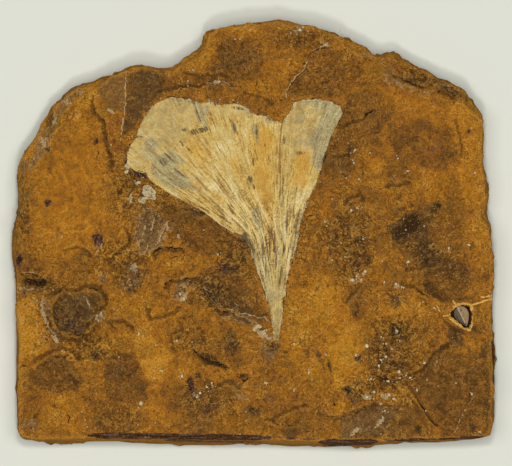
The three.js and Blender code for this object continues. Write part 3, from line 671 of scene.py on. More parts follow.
# Dark brown patches.
UMBER_PX = [
    (72, 314, 19, 17, 0.2), (98, 299, 8, 8, 0.4), (398, 232, 10, 9, 0.4), (413, 224, 11, 11, 0.6),
    (433, 262, 12, 8, 0.4, -10), (424, 246, 7, 14, 0.3), (437, 212, 6, 10, 0.5, 30),
    (212, 361, 17, 5, 0.8, 24), (231, 341, 7, 15, 0.7), (208, 290, 12, 6, 0.5, 35),
    (455, 337, 6, 9, 1.2), (470, 327, 8, 5, 0.5), (95, 355, 4.5, 4.5, 1.3), (252, 411, 10, 6, 0.7),
    (290, 433, 11, 4, 0.9), (274, 421, 6, 4, 0.5), (394, 300, 6, 8, 0.55), (357, 313, 6, 11, 0.55),
    (361, 242, 6, 8, 0.55), (362, 198, 3.5, 3.5, 0.9), (420, 126, 11, 8, 0.5),
    (416, 148, 6, 4, 0.5), (244, 377, 6, 3, 0.9, 10), (273, 346, 5, 5, 0.8), (142, 390, 7, 6, 0.4),
    (100, 425, 5, 9, 0.5), (485, 352, 4, 10, 0.7), (473, 428, 5, 5, 0.8), (418, 430, 4, 5, 0.8),
    (349, 391, 4, 3, 1.4, 30), (360, 357, 4, 4, 0.7), (48, 203, 4, 3, 0.6), (35, 283, 13, 4, 1.1),
    (22, 195, 4, 24, 0.35), (20, 260, 2.5, 4, 1.3), (96, 142, 2.5, 3, 1.1), (62, 203, 4, 4, 0.5),
    (410, 82, 18, 3.5, 0.9, 20), (330, 365, 2.5, 12, 0.6, -15), (323, 365, 2.5, 8, 0.6, -20),
    (398, 331, 7, 6, 0.9), (225, 65, 9, 5, 0.5), (215, 45, 7, 5, 0.5), (268, 70, 7, 4, 0.4),
    (283, 43, 9, 4, 0.4), (388, 185, 9, 4, 0.5), (172, 240, 7, 4, 0.4, -15), (240, 350, 5, 9, 0.4),
    (318, 355, 2, 5, 0.7), (405, 290, 9, 4, 0.4, 20), (372, 114, 5, 5, 0.6),
    (418, 400, 3, 6, 0.4, -20), (270, 390, 9, 9, 0.3), (197, 376, 6, 3, 0.6), (366, 180, 3, 3, 0.4),
    (440, 420, 4, 3, 0.5), (58, 122, 3, 3, 0.4), (72, 107, 3, 3, 0.3), (46, 150, 3, 5, 0.5),
    (62, 345, 4, 3, 0.3), (335, 62, 3, 3, 0.3), (150, 345, 5, 3, 0.3), (306, 176, 3, 3, 0.2),
    (385, 150, 4, 3, 0.4), (468, 131, 3, 3, 0.8), (440, 150, 3, 3, 0.3), (116, 372, 8, 12, 0.3),
    (22, 420, 5, 8, 0.4), (330, 150, 4, 3, 0.4), (84, 316, 6, 10, 0.3), (456, 356, 3, 2, 0.6),
    (420, 100, 4, 3, 0.3), (141, 175, 8, 4, 1.2, 15), (198, 213, 8, 3, 0.8, 30),
    (245, 244, 3, 7, 0.9, -25), (324, 158, 3, 9, 0.9, 17), (130, 176, 4, 4, 0.5),
    (240, 310, 14, 4, 0.5, 20),
]
# Pale greyish ones.
ASH_PX = [
    (170, 226, 5, 9, 0.5, -10), (131, 272, 11, 11, 0.6), (148, 226, 8, 16, 0.5, 10),
    (158, 236, 5, 12, 0.4, 10), (136, 282, 6, 10, 0.4), (40, 282, 14, 3, 0.4),
    (129, 286, 10, 7, 0.5), (103, 277, 3.5, 6, 1.0, 30), (180, 290, 10, 11, 0.8, 30),
    (26, 166, 8, 7, 0.9), (22, 196, 4, 26, 0.7), (352, 262, 14, 14, 0.35), (30, 426, 9, 7, 0.7),
    (355, 430, 16, 9, 0.6, -20), (405, 85, 30, 5, 0.6, 20), (450, 90, 16, 5, 0.7, 25),
    (376, 58, 16, 7, 0.5, 20), (25, 290, 16, 5, 0.6), (296, 30, 14, 5, 0.6), (326, 44, 5, 3, 0.8),
    (96, 316, 10, 8, 0.7), (46, 306, 5, 12, 0.8, -20), (55, 334, 5, 12, 0.8, -30),
    (450, 262, 14, 12, 0.3), (385, 360, 7, 14, 0.4), (270, 350, 9, 13, 0.6), (205, 425, 20, 8, 0.3),
    (18, 380, 2, 50, 0.5), (230, 316, 22, 4, 0.6, 15), (245, 320, 10, 5, 0.6, 15),
    (240, 395, 20, 12, 0.35), (393, 180, 8, 8, 0.35), (190, 282, 12, 5, 0.5),
    (55, 132, 5, 12, 0.3, 20), (20, 300, 4, 20, 0.3), (365, 228, 10, 6, 0.3),
    (200, 400, 12, 10, 0.3), (152, 350, 8, 6, 0.3), (60, 230, 12, 10, 0.2),
]
# Redder ones.
RUST_PX = [
    (118, 182, 14, 12, 0.6), (62, 200, 12, 8, 0.5), (300, 75, 12, 20, 0.3), (330, 60, 16, 14, 0.4),
    (340, 90, 8, 12, 0.6), (205, 90, 40, 8, 0.5), (250, 268, 24, 10, 0.5), (205, 380, 16, 16, 0.4),
    (440, 75, 30, 8, 0.6, 28), (395, 62, 14, 8, 0.6, 20), (260, 400, 18, 14, 0.5),
    (350, 170, 22, 18, 0.4), (425, 150, 26, 24, 0.5), (30, 350, 8, 30, 0.2), (98, 240, 12, 12, 0.8),
    (150, 380, 12, 10, 0.3), (440, 300, 22, 10, 0.4), (240, 295, 28, 14, 0.4, 25),
]
# Purplish black ones.
PLUM_PX = [
    (98, 240, 7, 8, 0.8), (226, 268, 11, 6, 0.5, 10), (18, 262, 4, 14, 0.5),
    (191, 385, 3, 10, 0.9, -12), (66, 308, 8, 8, 0.3), (47, 202, 3, 4, 0.8),
    (54, 206, 4, 2, 0.4, 20), (270, 398, 8, 8, 0.4), (353, 310, 6, 10, 0.1), (350, 398, 6, 6, 0.4),
    (360, 357, 6, 4, 0.5, 40), (437, 150, 14, 10, 0.3), (206, 410, 6, 8, 0.5, -30),
    (468, 132, 3, 3, 0.6), (72, 326, 14, 6, 0.5), (352, 300, 4, 10, 0.1, 10),
    (141, 174, 7, 3.5, 1.0, 15), (203, 213, 5, 2, 0.7, 30), (325, 157, 2, 8, 0.9, 17),
]
# Long strips of the same colour: half width, strength and line. The lower sawn edge is stained
# dark in two runs, the right one in a short run.
PLUM_STRIPS_PX = [
    (2.6, 2.0, [(88, 435.5), (130, 436), (180, 436.8), (240, 437.4), (270, 437.8)]),
    (1.8, 0.5, [(165, 440.5), (210, 442), (262, 442.5)]),
    (2.9, 2.0, [(320, 442.4), (345, 443), (376, 442)]),
    (1.1, 1.6, [(374, 440.6), (410, 439.6), (450, 438.8), (484, 437.6)]),
    (1.0, 0.5, [(268, 437), (322, 439)]),
    (0.8, 0.4, [(18, 330), (18, 380), (18, 428)]),
    (1.4, 1.2, [(492, 336), (494, 360), (494, 380), (493, 396)]),
]
# Pale chips and dusty places.
PALE_PX = [
    (167, 226, 1.5, 5, 0.8, -15), (178, 236, 1.8, 4, 0.8, -20), (184, 298, 2.6, 5, 0.9, 35),
    (356, 431, 8, 3.2, 0.7, -35), (380, 423, 7, 3.2, 0.7, -55), (326, 44, 3, 1.6, 0.9),
    (295, 30, 3, 2, 0.6), (134, 268, 4, 5, 0.7), (126, 286, 4, 3, 0.5), (355, 281, 6, 4, 0.6),
    (364, 274, 3, 3, 0.6), (367, 397, 6, 3, 0.8, 10), (385, 397, 4, 3, 0.8, 20),
    (347, 331, 1, 1, 0.5), (397, 287, 3, 2, 0.8), (66, 102, 5, 4, 0.6, 40),
    (55, 122, 4, 7, 0.55, 25), (44, 142, 4, 7, 0.6, 20), (80, 92, 6, 3, 0.5, 30),
    (34, 158, 3, 4, 0.5, 20), (42, 312, 2, 6, 0.5, -20), (56, 340, 4, 2, 0.6, 40),
    (101, 316, 4, 3, 0.6), (30, 290, 8, 1.5, 0.5), (110, 110, 6, 2, 0.7, 25), (217, 82, 4, 2, 0.9),
    (396, 331, 2, 3, 0.9), (194, 394, 3, 3, 0.6), (213, 387, 6, 2, 0.5, -25),
    (262, 334, 6, 3.5, 0.9, 30), (270, 338, 3, 3, 0.6), (141, 334, 1.5, 3, 0.5),
    (145, 228, 1.4, 10, 0.6, 12), (153, 224, 1.4, 9, 0.6, 12), (160, 236, 1.2, 8, 0.6, 14),
    (40, 120, 2, 3, 0.3, 20), (136, 250, 4, 1.5, 0.5), (95, 296, 3, 2, 0.4),
    (43, 304, 3, 7, 0.55, -10), (46, 320, 2.6, 8, 0.55, -20), (54, 336, 3, 5, 0.55, -45),
    (88, 303, 1.6, 6, 0.6, -25), (96, 318, 2, 5, 0.5), (34, 304, 2, 5, 0.3),
    (40, 277, 5, 1.4, 0.5, 10), (26, 274, 5, 1.4, 0.4), (60, 292, 6, 1.2, 0.3, -10),
]

# %% [markdown]
# Three more lists of blobs say where the rock is speckled, where it is weathered, and where it is
# crumbly. The last one drives the relief as well.

# %% Specks, weathering and crumbly places
# Near-black specks of manganese, thickest in the stain on the right.
SOOT_PX = [
    (413, 223, 9, 10, 0.95), (399, 232, 8, 6, 0.75), (436, 208, 4, 9, 0.6, 30),
    (428, 262, 9, 5, 0.55, -10), (424, 246, 5, 10, 0.45), (396, 330, 6, 5, 0.8),
    (357, 316, 3, 8, 0.5, 10), (349, 391, 3, 2.5, 0.9, 30), (35, 283, 12, 3.5, 0.8),
    (212, 361, 14, 4, 0.7, 26), (231, 341, 6, 12, 0.4), (240, 376, 6, 2.5, 0.7, 8),
    (95, 355, 3.5, 4, 0.6), (20, 260, 2, 4, 0.9), (97, 142, 1.6, 2, 0.9),
    (330, 368, 1.5, 10, 0.6, -15), (323, 366, 1.2, 8, 0.5, -20), (361, 243, 3, 5, 0.5),
    (363, 198, 2.5, 2.5, 0.7), (410, 82, 14, 2, 0.7, 22), (418, 90, 5, 3, 0.4, 20),
    (58, 358, 6, 2, 0.5), (72, 380, 8, 2.5, 0.4, 35), (252, 411, 7, 5, 0.5),
    (290, 425, 12, 4, 0.45), (473, 428, 4, 4, 0.5), (418, 430, 3, 4, 0.5), (196, 376, 5, 2, 0.5),
    (80, 334, 12, 4, 0.5), (63, 306, 6, 3, 0.5, -30), (460, 296, 12, 4, 0.4, 25),
    (478, 330, 5, 4, 0.4), (455, 336, 4, 6, 0.5), (368, 262, 3, 4, 0.5), (352, 268, 3, 5, 0.4),
    (388, 118, 4, 3, 0.4), (350, 150, 3, 12, 0.5), (345, 176, 8, 4, 0.35), (240, 60, 12, 8, 0.3),
    (212, 300, 10, 3, 0.5, 35), (188, 385, 2, 8, 0.5, -12), (270, 345, 5, 5, 0.5),
    (176, 336, 4, 6, 0.4), (104, 300, 4, 5, 0.5), (468, 131, 2, 2, 0.7), (128, 240, 3, 6, 0.4),
    (116, 183, 3, 6, 0.4), (108, 152, 2, 8, 0.6, -10), (56, 160, 8, 3, 0.3), (48, 150, 3, 4, 0.5),
    (22, 185, 3, 12, 0.2),
]
# Grey-brown weathered patches.
SMOKE_PX = [
    (150, 228, 10, 18, 0.6), (230, 300, 26, 12, 0.3, 25), (22, 196, 4, 28, 0.4),
    (60, 375, 22, 14, 0.25), (120, 375, 18, 18, 0.25), (215, 405, 26, 16, 0.3),
    (300, 425, 26, 8, 0.3), (240, 58, 26, 12, 0.35), (370, 120, 18, 24, 0.3),
    (340, 165, 14, 14, 0.4), (350, 262, 16, 16, 0.35), (430, 235, 26, 26, 0.25),
    (460, 275, 18, 12, 0.25), (190, 210, 22, 8, 0.4, 35), (270, 352, 10, 14, 0.5),
    (400, 76, 34, 7, 0.5, 22), (462, 92, 14, 6, 0.5, 25), (30, 425, 12, 8, 0.4),
    (345, 205, 16, 8, 0.3), (400, 395, 14, 6, 0.3), (395, 350, 12, 8, 0.3), (55, 240, 20, 10, 0.2),
    (85, 310, 16, 14, 0.3), (36, 320, 6, 16, 0.2),
]
# Crumbly places, and with a strength below zero calm ones.
ROUGH_PX = [
    (75, 315, 32, 28, 0.45), (34, 284, 22, 10, 1.2), (150, 232, 18, 22, 0.3),
    (131, 276, 14, 16, 0.7), (215, 298, 26, 16, 0.8, 25), (90, 350, 20, 12, 1.0),
    (205, 400, 22, 14, 0.8), (385, 360, 22, 40, 0.8), (55, 125, 16, 34, 0.5, 25),
    (440, 82, 40, 12, 1.2, 25), (415, 235, 24, 26, 0.4), (352, 270, 16, 20, 0.5),
    (22, 210, 8, 40, 1.0), (120, 180, 22, 30, 0.8), (190, 340, 20, 16, 0.6),
    (355, 392, 12, 12, 0.8), (120, 420, 24, 16, 0.4), (310, 38, 24, 12, 0.6),
    (72, 190, 34, 62, -1.0), (425, 130, 42, 46, -0.4), (345, 330, 22, 30, -0.2),
    (160, 385, 26, 40, -0.3), (440, 405, 34, 26, -0.3), (110, 262, 34, 20, 0.5),
    (440, 262, 26, 22, 0.2), (400, 330, 16, 12, 0.8), (395, 368, 24, 26, 0.5),
    (236, 262, 20, 18, 0.7), (150, 196, 22, 18, 0.6), (350, 235, 22, 30, 0.7),
    (90, 80, 44, 12, 0.1, -25), (300, 235, 12, 36, 0.4),
]

# %% [markdown]
# The lists become masks. The edge of a stain wanders, so it is measured from places that noise
# has moved a little. The leaf's stains are worked out later in the same way.

# %% From lists to masks


class Ground:
    """The places of a piece's vertices, and how far the edges of stains wander there."""

    def __init__(self, x, y, wander_x, wander_y):
        self.x = x
        self.y = y
        self.wander_x = wander_x
        self.wander_y = wander_y

    def moved(self, share):
        """The places, moved by a share of the wandering."""
        return self.x + share * self.wander_x, self.y + share * self.wander_y


def blobs(ground, list_px, share=1.0):
    """A mask of soft blobs, whose edges wander by a share."""
    x, y = ground.moved(share)
    mask = np.zeros(len(x))
    for middle_x, middle_y, wide, tall, strength, *turn in list_px:
        (cx, cy), = spots([(middle_x, middle_y)])
        angle = math.radians(-sum(turn))
        c, s = math.cos(angle), math.sin(angle)
        dx = x - cx
        dy = y - cy
        u = (dx * c + dy * s) * POINTS_PER_MM / wide
        v = (-dx * s + dy * c) * POINTS_PER_MM / tall
        mask += strength * np.exp(-((u * u + v * v) ** 1.5) * 0.8)
    return mask


def strips(ground, mask, list_px):
    """Lays soft strips over a mask. They thin out towards their ends."""
    for half_width, strength, line in list_px:
        gap, share, _ = away_from(spots(line), *ground.moved(0.2))
        taper = 0.4 + 0.6 * smooth(np.minimum(share, 1 - share), 0, 0.10)
        inside = np.exp(-((gap * POINTS_PER_MM / half_width / taper) ** 4))
        mask = np.maximum(mask, strength * inside)
    return mask


def plate(ground, outline_px):
    """1 on a plate and 0 off it, with an edge a millimetre wide that wanders."""
    outline = spots(outline_px)
    x, y = ground.moved(0.7)
    gap, _, _ = away_from(np.vstack([outline, outline[:1]]), x, y)
    return smooth(np.where(within(outline, x, y), gap, -gap), -0.5, 0.5)


places, normals = places_of(slab.data)
x, y, z = places.T
flat = places * (1, 1, 0)
face_ground = Ground(
    x,
    y,
    0.9 * wander(flat, 3.6, 3, 61.0) + 0.45 * wander(flat, 1.3, 2, 14.0),
    0.9 * wander(flat, 3.6, 3, 77.0) + 0.45 * wander(flat, 1.3, 2, 26.0),
)
masks = {
    "tone": blobs(face_ground, OCHRE_PX) - blobs(face_ground, BROWN_PX),
    "umber": blobs(face_ground, UMBER_PX, 0.8),
    "ash": blobs(face_ground, ASH_PX, 0.9),
    "rust": blobs(face_ground, RUST_PX),
    "plum": blobs(face_ground, PLUM_PX, 0.5),
    "pale": blobs(face_ground, PALE_PX, 0.3),
    "soot": blobs(face_ground, SOOT_PX, 0.6),
    "smoke": blobs(face_ground, SMOKE_PX, 0.9),
}
for name, strength, outline_px in PLATES_PX:
    masks[name] += strength * plate(face_ground, outline_px)
masks["tone"] += 0.6 * (1 - smooth(normals[:, 2], 0.6, 0.95))  # slopes are fresher and lighter
rough = 0.5 + 0.7 * blobs(face_ground, ROUGH_PX)
print("stains", {name: round(float(mask.max()), 2) for name, mask in masks.items()})

# %% [markdown]
# Now the sculpting. Every vertex of the face is moved up or down by the sum of several
# things: noise in three sizes, terraces (the layers of a split siltstone end in low ragged
# steps), the named steps, cracks and crusts. Near the leaf all of it is calmed, because the
# film lies flat.

# %% Noise and terraces
leaf_gap, _, _ = away_from(leaf_outline, x, y)
leaf_gap[within(leaf_outline, x, y)] *= -1

on_face = smooth(normals[:, 2], 0.35, 0.8) * smooth(z, SIDES_TO, FACE_FROM)
near_leaf = 1 - smooth(leaf_gap, 0.2, 3.5)
at_seed = near_seed(places, 5.5)

broad_noise = wander(flat, 8, 3, 5.5)
middle_noise = wander(flat, 2.8, 3, 9.2)
small_noise = wander(flat, 0.95, 2, 21.0)
layers = 2.6 * (wander(flat, 10, 4, 41.0) + 0.25 * middle_noise)
terraces = np.floor(layers) + smooth(layers - np.floor(layers), 0.38, 0.62)

height = 0.14 * broad_noise + rough * (0.12 * middle_noise + 0.10 * small_noise + 0.17 * terraces)
height *= (1 - 0.85 * near_leaf) * (1 - 0.8 * at_seed)
print("noise and terraces", height.min().round(2), "to", height.max().round(2), "mm")

# %% [markdown]
# A step lowers the ground on one side, and a shadow is inked along its foot. Lines don't run true
# in rock, so distances are measured from strayed places, and marks thin out and thicken along
# the way.

# %% Steps, cracks and crusts cut into the face
stray_x = x + (0.36 * wander(flat, 1.4, 4, 3.1) + 0.4 * wander(flat, 4.0, 2, 7.7)) * (1 - at_seed)
stray_y = y + (0.36 * wander(flat, 1.4, 4, 17.7) + 0.4 * wander(flat, 4.0, 2, 47.0)) * (1 - at_seed)
broken = 0.7 + 1.2 * wander(flat, 1.3, 3, 88.0)
# Painted shade is gathered here: at the feet of steps, in cracks, along the film's margin and in the
# seed's pocket.
ink = np.zeros(len(places))
pale = masks["pale"]

for drop, reach, low_side, darkness, line in STEPS_PX:
    gap, share, side = away_from(spots(line), stray_x, stray_y)
    ends = smooth(share, 0, 0.15) * (1 - smooth(share, 0.85, 1))
    signed = gap * side * low_side
    lowered = smooth(signed, -0.15, 0.3) * np.exp(-np.maximum(signed, 0) / reach)
    lifted = 0.25 * bell(np.minimum(signed, 0) / 0.8) * (signed < 0)
    height -= drop * (lowered - lifted) * ends * (1 - 0.6 * near_leaf)
    width = 0.30 * drop * np.maximum(broken, 0.08)
    # Painted shadow along the step's foot.
    foot = smooth(signed, -0.2, 0.1) * np.exp(-((np.maximum(signed, 0) / width) ** 1.5)) * ends
    ink = np.maximum(ink, darkness * foot)
# A crack's groove is filled with painted shade.
for depth, half_width, line in CRACKS_PX:
    gap, share, _ = away_from(spots(line), stray_x, stray_y)
    ends = smooth(share, 0, 0.3) * (1 - smooth(share, 0.7, 1))
    width = half_width * (0.5 + 0.6 * ends) * np.maximum(broken, 0.3)
    inside = bell(gap / width) * (0.35 + 0.65 * ends)
    height -= depth * inside
    ink = np.maximum(ink, inside)
for rise, half_width, paleness, line in CRUSTS_PX:
    gap, _, _ = away_from(spots(line), stray_x, stray_y)
    inside = bell(gap / (half_width * np.maximum(0.3 + 0.7 * broken, 0.3)))
    height += rise * inside
    pale = np.maximum(pale, paleness * inside)
print("steps", len(STEPS_PX), "cracks", len(CRACKS_PX), "crusts", len(CRUSTS_PX))

# %% [markdown]
# Two more marks lie at margins: the golden rim and veins of the seed's pocket, and a thin
# painted shadow that runs along the film's margin in pieces.

# %% The seed's rim and the film's painted shadow
rim_gap, _, _ = away_from(spots(SEED_RIM_PX), x, y)
gold = bell(rim_gap / 0.20)
height += 0.22 * gold * (normals[:, 2] > 0.5)
for half_width, line in SEED_VEINS_PX:
    gap, _, _ = away_from(spots(line), 0.3 * stray_x + 0.7 * x, 0.3 * stray_y + 0.7 * y)
    inside = bell(gap / half_width)
    gold = np.maximum(gold, inside)
    height += 0.2 * inside

# A painted shadow on the rock along the film's margin, in pieces.
in_pieces = smooth(wander(flat, 1.1, 3, 15.0), -0.25, 0.25)
film_shadow_line = bell((leaf_gap - 0.22) / 0.22) * in_pieces
ink = np.maximum(ink, 0.85 * film_shadow_line)
print("gold on", int((gold > 0.5).sum()), "vertices, crevice on", int((film_shadow_line > 0.5).sum()))

# %% [markdown]
# With the height known, the vertices are moved. Under the leaf the face is first drawn level. The
# sides are moved outwards and inwards in thin layers instead, less where they are sawn, and the
# back gets a gentler relief, cut flat where the slab rests.

# %% Move the vertices
BED_LEVEL = LEVEL - 0.12  # height of the levelled face under the film
NEARLY_LEVEL = 13.5  # lower ground, such as the seed's pocket, isn't drawn level
GROWTH = 0.45  # what the smoothing took off the sides

level = BED_LEVEL + 0.25 * (z - LEVEL)
z += (level - z) * near_leaf * on_face * (z > NEARLY_LEVEL)
z += height * on_face

sides = 1 - smooth(np.abs(normals[:, 2]), 0.4, 0.8)
sawn = smooth(-y, 46, 48) * smooth(z, 5.5, 7.5)
bedding = wander(places * (0.13, 0.13, 1.0), 0.9, 3, 2.0)
jagged = 0.26 * wander(places, 2.2, 3, 8.0) + 0.5 * wander(places * (1, 1, 0.5), 1.4, 2, 33.0)
push = sides * (GROWTH + 0.32 * bedding * (1 - 0.85 * sawn) + jagged * (1 - 0.9 * sawn))
outward = normals * (1, 1, 0)
outward /= np.maximum(np.linalg.norm(outward, axis=1), 0.2)[:, None]
x += push * outward[:, 0]
y += push * outward[:, 1]

back = smooth(-normals[:, 2], 0.4, 0.8)
z += back * (0.22 * broad_noise + 0.12 * middle_noise + 0.1 * terraces)
z = np.maximum(z, 0)
places = np.column_stack([x, y, z])
put_places(slab.data, places)
print("slab", places.min(axis=0).round(2), places.max(axis=0).round(2))

# %% [markdown]
# Hollows get painted shade, so one more mask says how far each place lies below its surroundings.
# Then all the masks are stored on the mesh, where the material finds them by name. Most stains
# belong to the top side. The gold also runs down the pocket's steep wall, and the dark strips
# lie on the sawn sides.

# %% Store the masks
POCKET_BELOW = 14.4  # the pocket round the seed is dark below this height
GOLD_FROM = 13.0  # the golden rim reaches down to this height


def neighbour_mean(mesh, values, passes):
    """Values blurred over the mesh by averaging with the neighbours."""
    pairs = np.empty(len(mesh.edges) * 2, dtype=np.int32)
    mesh.edges.foreach_get("vertices", pairs)
    a, b = pairs.reshape(-1, 2).T
    degree = np.bincount(a, minlength=len(values)) + np.bincount(b, minlength=len(values))
    for _ in range(passes):
        around = np.bincount(a, values[b], len(values)) + np.bincount(b, values[a], len(values))
        values = 0.5 * values + 0.5 * around / degree
    return values


def store(piece, name, values):
    """Keeps one number per vertex on a piece, where its material finds it by name."""
    attribute = piece.data.attributes.new(name, "FLOAT", "POINT")
    attribute.data.foreach_set("value", values.astype(np.float32))


below = neighbour_mean(slab.data, z, 10) - z
from_seed = np.hypot(x - SEED_MIDDLE[0], y - SEED_MIDDLE[1])
pocket = (from_seed < 4.5) & (z < POCKET_BELOW) & (normals[:, 2] > -0.2)
masks["cavity"] = np.clip(below / 0.1, -1, 1)
# The seed's pocket is painted dark all over, as shade.
masks["ink"] = np.where(pocket, 1.0, ink)
masks["pale"] = pale
top_side = (normals[:, 2] > 0.1) & (z > SIDES_TO)
for mask in masks.values():
    mask *= top_side
masks["gold"] = gold * (z > GOLD_FROM)
masks["plum"] = strips(face_ground, masks["plum"], PLUM_STRIPS_PX)
masks["side"] = sides
masks["crumble"] = rough - 0.5
masks["sawn"] = sawn
for name, mask in masks.items():
    store(slab, name, mask)
print("masks", list(masks))

# %% [markdown]
# Materials are built from nodes. To keep their arithmetic readable, one small class wraps a
# socket, so that an expression such as 1 - mask adds its Math nodes by itself. Every other
# node comes from one method, which takes its type, its settings and its inputs.

# %% A way to write materials


class Socket:
    """A value somewhere in a material's nodes."""

    def __init__(self, finish, link):
        self.finish = finish
        self.link = link

    def math(self, operation, *terms):
        return self.finish.node("ShaderNodeMath", {"operation": operation}, dict(enumerate(terms)))

    def __add__(self, other):
        return self.math("ADD", self, other)

    def __sub__(self, other):
        return self.math("SUBTRACT", self, other)

    def __rsub__(self, other):
        return self.math("SUBTRACT", other, self)

    def __mul__(self, other):
        return self.math("MULTIPLY", self, other)

    __radd__ = __add__
    __rmul__ = __mul__

    def at_most(self, other):
        return self.math("MINIMUM", self, other)

    def cosine(self):
        return self.math("COSINE", self)

    def part(self):
        """What is left above the whole number."""
        return self.math("FRACT", self)

    def size(self):
        """The value without its sign."""
        return self.math("ABSOLUTE", self)

    def step(self, low, high):
        """An S-shaped step from 0 at low to 1 at high."""
        settings = {"interpolation_type": "SMOOTHSTEP"}
        inputs = {"Value": self, "From Min": low, "From Max": high}
        return self.finish.node("ShaderNodeMapRange", settings, inputs)


class Finish:
    """A material with one Principled shader."""

    def __init__(self, name, **same_all_over):
        self.material = bpy.data.materials.new(name)
        self.material.use_nodes = True
        self.tree = self.material.node_tree
        self.shader = self.tree.nodes["Principled BSDF"]
        self.color = None
        for socket, value in same_all_over.items():
            self.shader.inputs[socket.replace("_", " ")].default_value = value

    def node(self, kind, settings, inputs, output=0):
        """Any node: its type, its settings, and the values or links of its inputs."""
        made = self.tree.nodes.new(kind)
        for key, value in settings.items():
            if key == "stops":
                self.set_stops(made.color_ramp.elements, value)
            else:
                setattr(made, key, value)
        for key, value in inputs.items():
            self.feed(made.inputs[key], value)
        return Socket(self, made.outputs[output])

    def set_stops(self, elements, stops):
        """Gives a colour ramp its stops, each a position and a colour."""
        while len(elements) < len(stops):
            elements.new(1.0)
        for element, (position, color) in zip(elements, stops):
            element.position = position
            element.color = (*color, 1.0)

    def feed(self, socket, value):
        """Links an input, or gives it a value."""
        if isinstance(value, Socket):
            self.tree.links.new(value.link, socket)
        elif isinstance(value, tuple) and len(value) == 3 and socket.type == "RGBA":
            socket.default_value = (*value, 1.0)
        else:
            socket.default_value = value

    def mask(self, name):
        """A number that is stored on the mesh's vertices."""
        return self.node("ShaderNodeAttribute", {"attribute_name": name}, {}, "Fac")

    def place(self):
        """Where on the object a point lies."""
        return self.node("ShaderNodeTexCoord", {}, {}, "Object")

    def grain(self, where, size, detail=3.0, rough=0.55, twist=0.0, shift=(0, 0, 0), stretch=1.0):
        """Noise from 0 to 1 with lumps of a size in millimetres, twisted or stretched if wanted."""
        scale = (1 / (size * stretch * MM), 1 / (size * MM), 1 / (size * MM))
        return self.noise(where, shift, scale, detail, rough, twist)

    def noise(self, where, shift, scale, detail, rough, twist):
        """Noise from 0 to 1 at places that are shifted and scaled first."""
        inputs = {"Vector": where, "Location": shift, "Scale": scale}
        moved = self.node("ShaderNodeMapping", {}, inputs)
        inputs = {"Vector": moved, "Scale": 1.0, "Detail": detail, "Roughness": rough}
        inputs["Distortion"] = twist
        return self.node("ShaderNodeTexNoise", {}, inputs, "Fac")

    def mix(self, share, first, second):
        """Two colours mixed by a share. The node's inputs of one name are told apart by number."""
        inputs = {"Factor": share, 6: first, 7: second}
        return self.node("ShaderNodeMix", {"data_type": "RGBA"}, inputs, 2)

    def lay(self, share, color):
        """Lays a colour over the finish's own by a share."""
        self.color = self.mix(share, self.color, color)

    def ramp(self, value, stops):
        """A colour picked by a value from a row of stops."""
        return self.node("ShaderNodeValToRGB", {"stops": stops}, {"Fac": value}, "Color")

    def shade(self, color, share):
        """A colour made lighter or darker by a factor."""
        settings = {"operation": "SCALE"}
        return self.node("ShaderNodeVectorMath", settings, {0: color, "Scale": share}, "Vector")

    def wear(self, roughness, relief, depth):
        """Joins the finish's colour, a roughness and a relief to the shader."""
        inputs = {"Height": relief, "Distance": depth * MM, "Strength": 1.0}
        bump = self.node("ShaderNodeBump", {}, inputs, "Normal")
        self.feed(self.shader.inputs["Base Color"], self.color)
        self.feed(self.shader.inputs["Roughness"], roughness)
        self.feed(self.shader.inputs["Normal"], bump)
        return self.material


# %% [markdown]
# Siltstone with iron in it weathers to ochre, rust and brown. Close up it is never one colour:
# grains of lighter and darker silt, specks of manganese, and painted shade in the hollows. All
# of it is driven by a few noises, from 13 mm lumps down to dust, which are made first.

# %% Noises of the siltstone
stone = Finish("iron_stained_siltstone", Specular_IOR_Level=0.03)
where = stone.place()
broad = stone.grain(where, 13, 3)
patchy = stone.grain(where, 4.2, 5, 0.65, 0.8)
small = stone.grain(where, 1.3, 4, 0.65, 0.5)
fine = stone.grain(where, 0.5, 3, 0.65)
dusty = stone.grain(where, 0.3, 2, 0.6)
wavy = stone.grain(where, 2.8, 4, 0.55, 1.8, (5, 1, 4))
hue = stone.grain(where, 6, 4, 0.6, 0.8, (3, 7, 1))
speck = stone.grain(where, 0.42, 1, 0.5, 0, (9, 2, 5))
layered = stone.grain(where, 0.45, 3, 0.6, 0.3, (2, 6, 3), 9)
print("noises made with", len(stone.tree.nodes), "nodes")

# %% [markdown]
# Thin layers end in low steps. A step is where a noise passes a whole number. Shade is painted at
# its foot and a highlight on its crest. Wavy lines are drawn where a noise passes one value: a
# painted shade line, and a painted highlight beside it. Both kinds show most where the rock is
# crumbly.

# %% Thin layers and wavy lines
crumble = stone.mask("crumble")
stairs = patchy * 12 + small * 1.6
stair_part = stairs.part()
stairs = stairs - stair_part + stair_part.step(0.35, 0.65)
# Painted shade at the foot of each thin step, and a painted highlight on its crest.
stair_foot_painted_shade = 1 - (stair_part - 0.38).size().step(0.04, 0.17)
stair_crest_painted_highlight = 1 - (stair_part - 0.66).size().step(0.03, 0.13)
showing = (0.45 * crumble + 1.5 * (hue - 0.5) + 1.2 * (small - 0.5)).step(0.0, 0.25)

winding = wavy + 0.12 * (fine - 0.5)
worn = (0.35 + 0.8 * crumble + 1.8 * (patchy - 0.5)).step(0.1, 0.8)
# A painted shade line along a wavy line, and a painted highlight beside it.
crease_painted_shade = (1 - (winding - 0.5).size().step(0.014, 0.055)) * worn
lip_painted_highlight = (1 - (winding - 0.57).size().step(0.014, 0.055)) * worn
crackled = (1.1 * crumble + 1.5 * (hue - 0.5)).step(0.1, 0.8)
knotty = small + 0.15 * (dusty - 0.5)
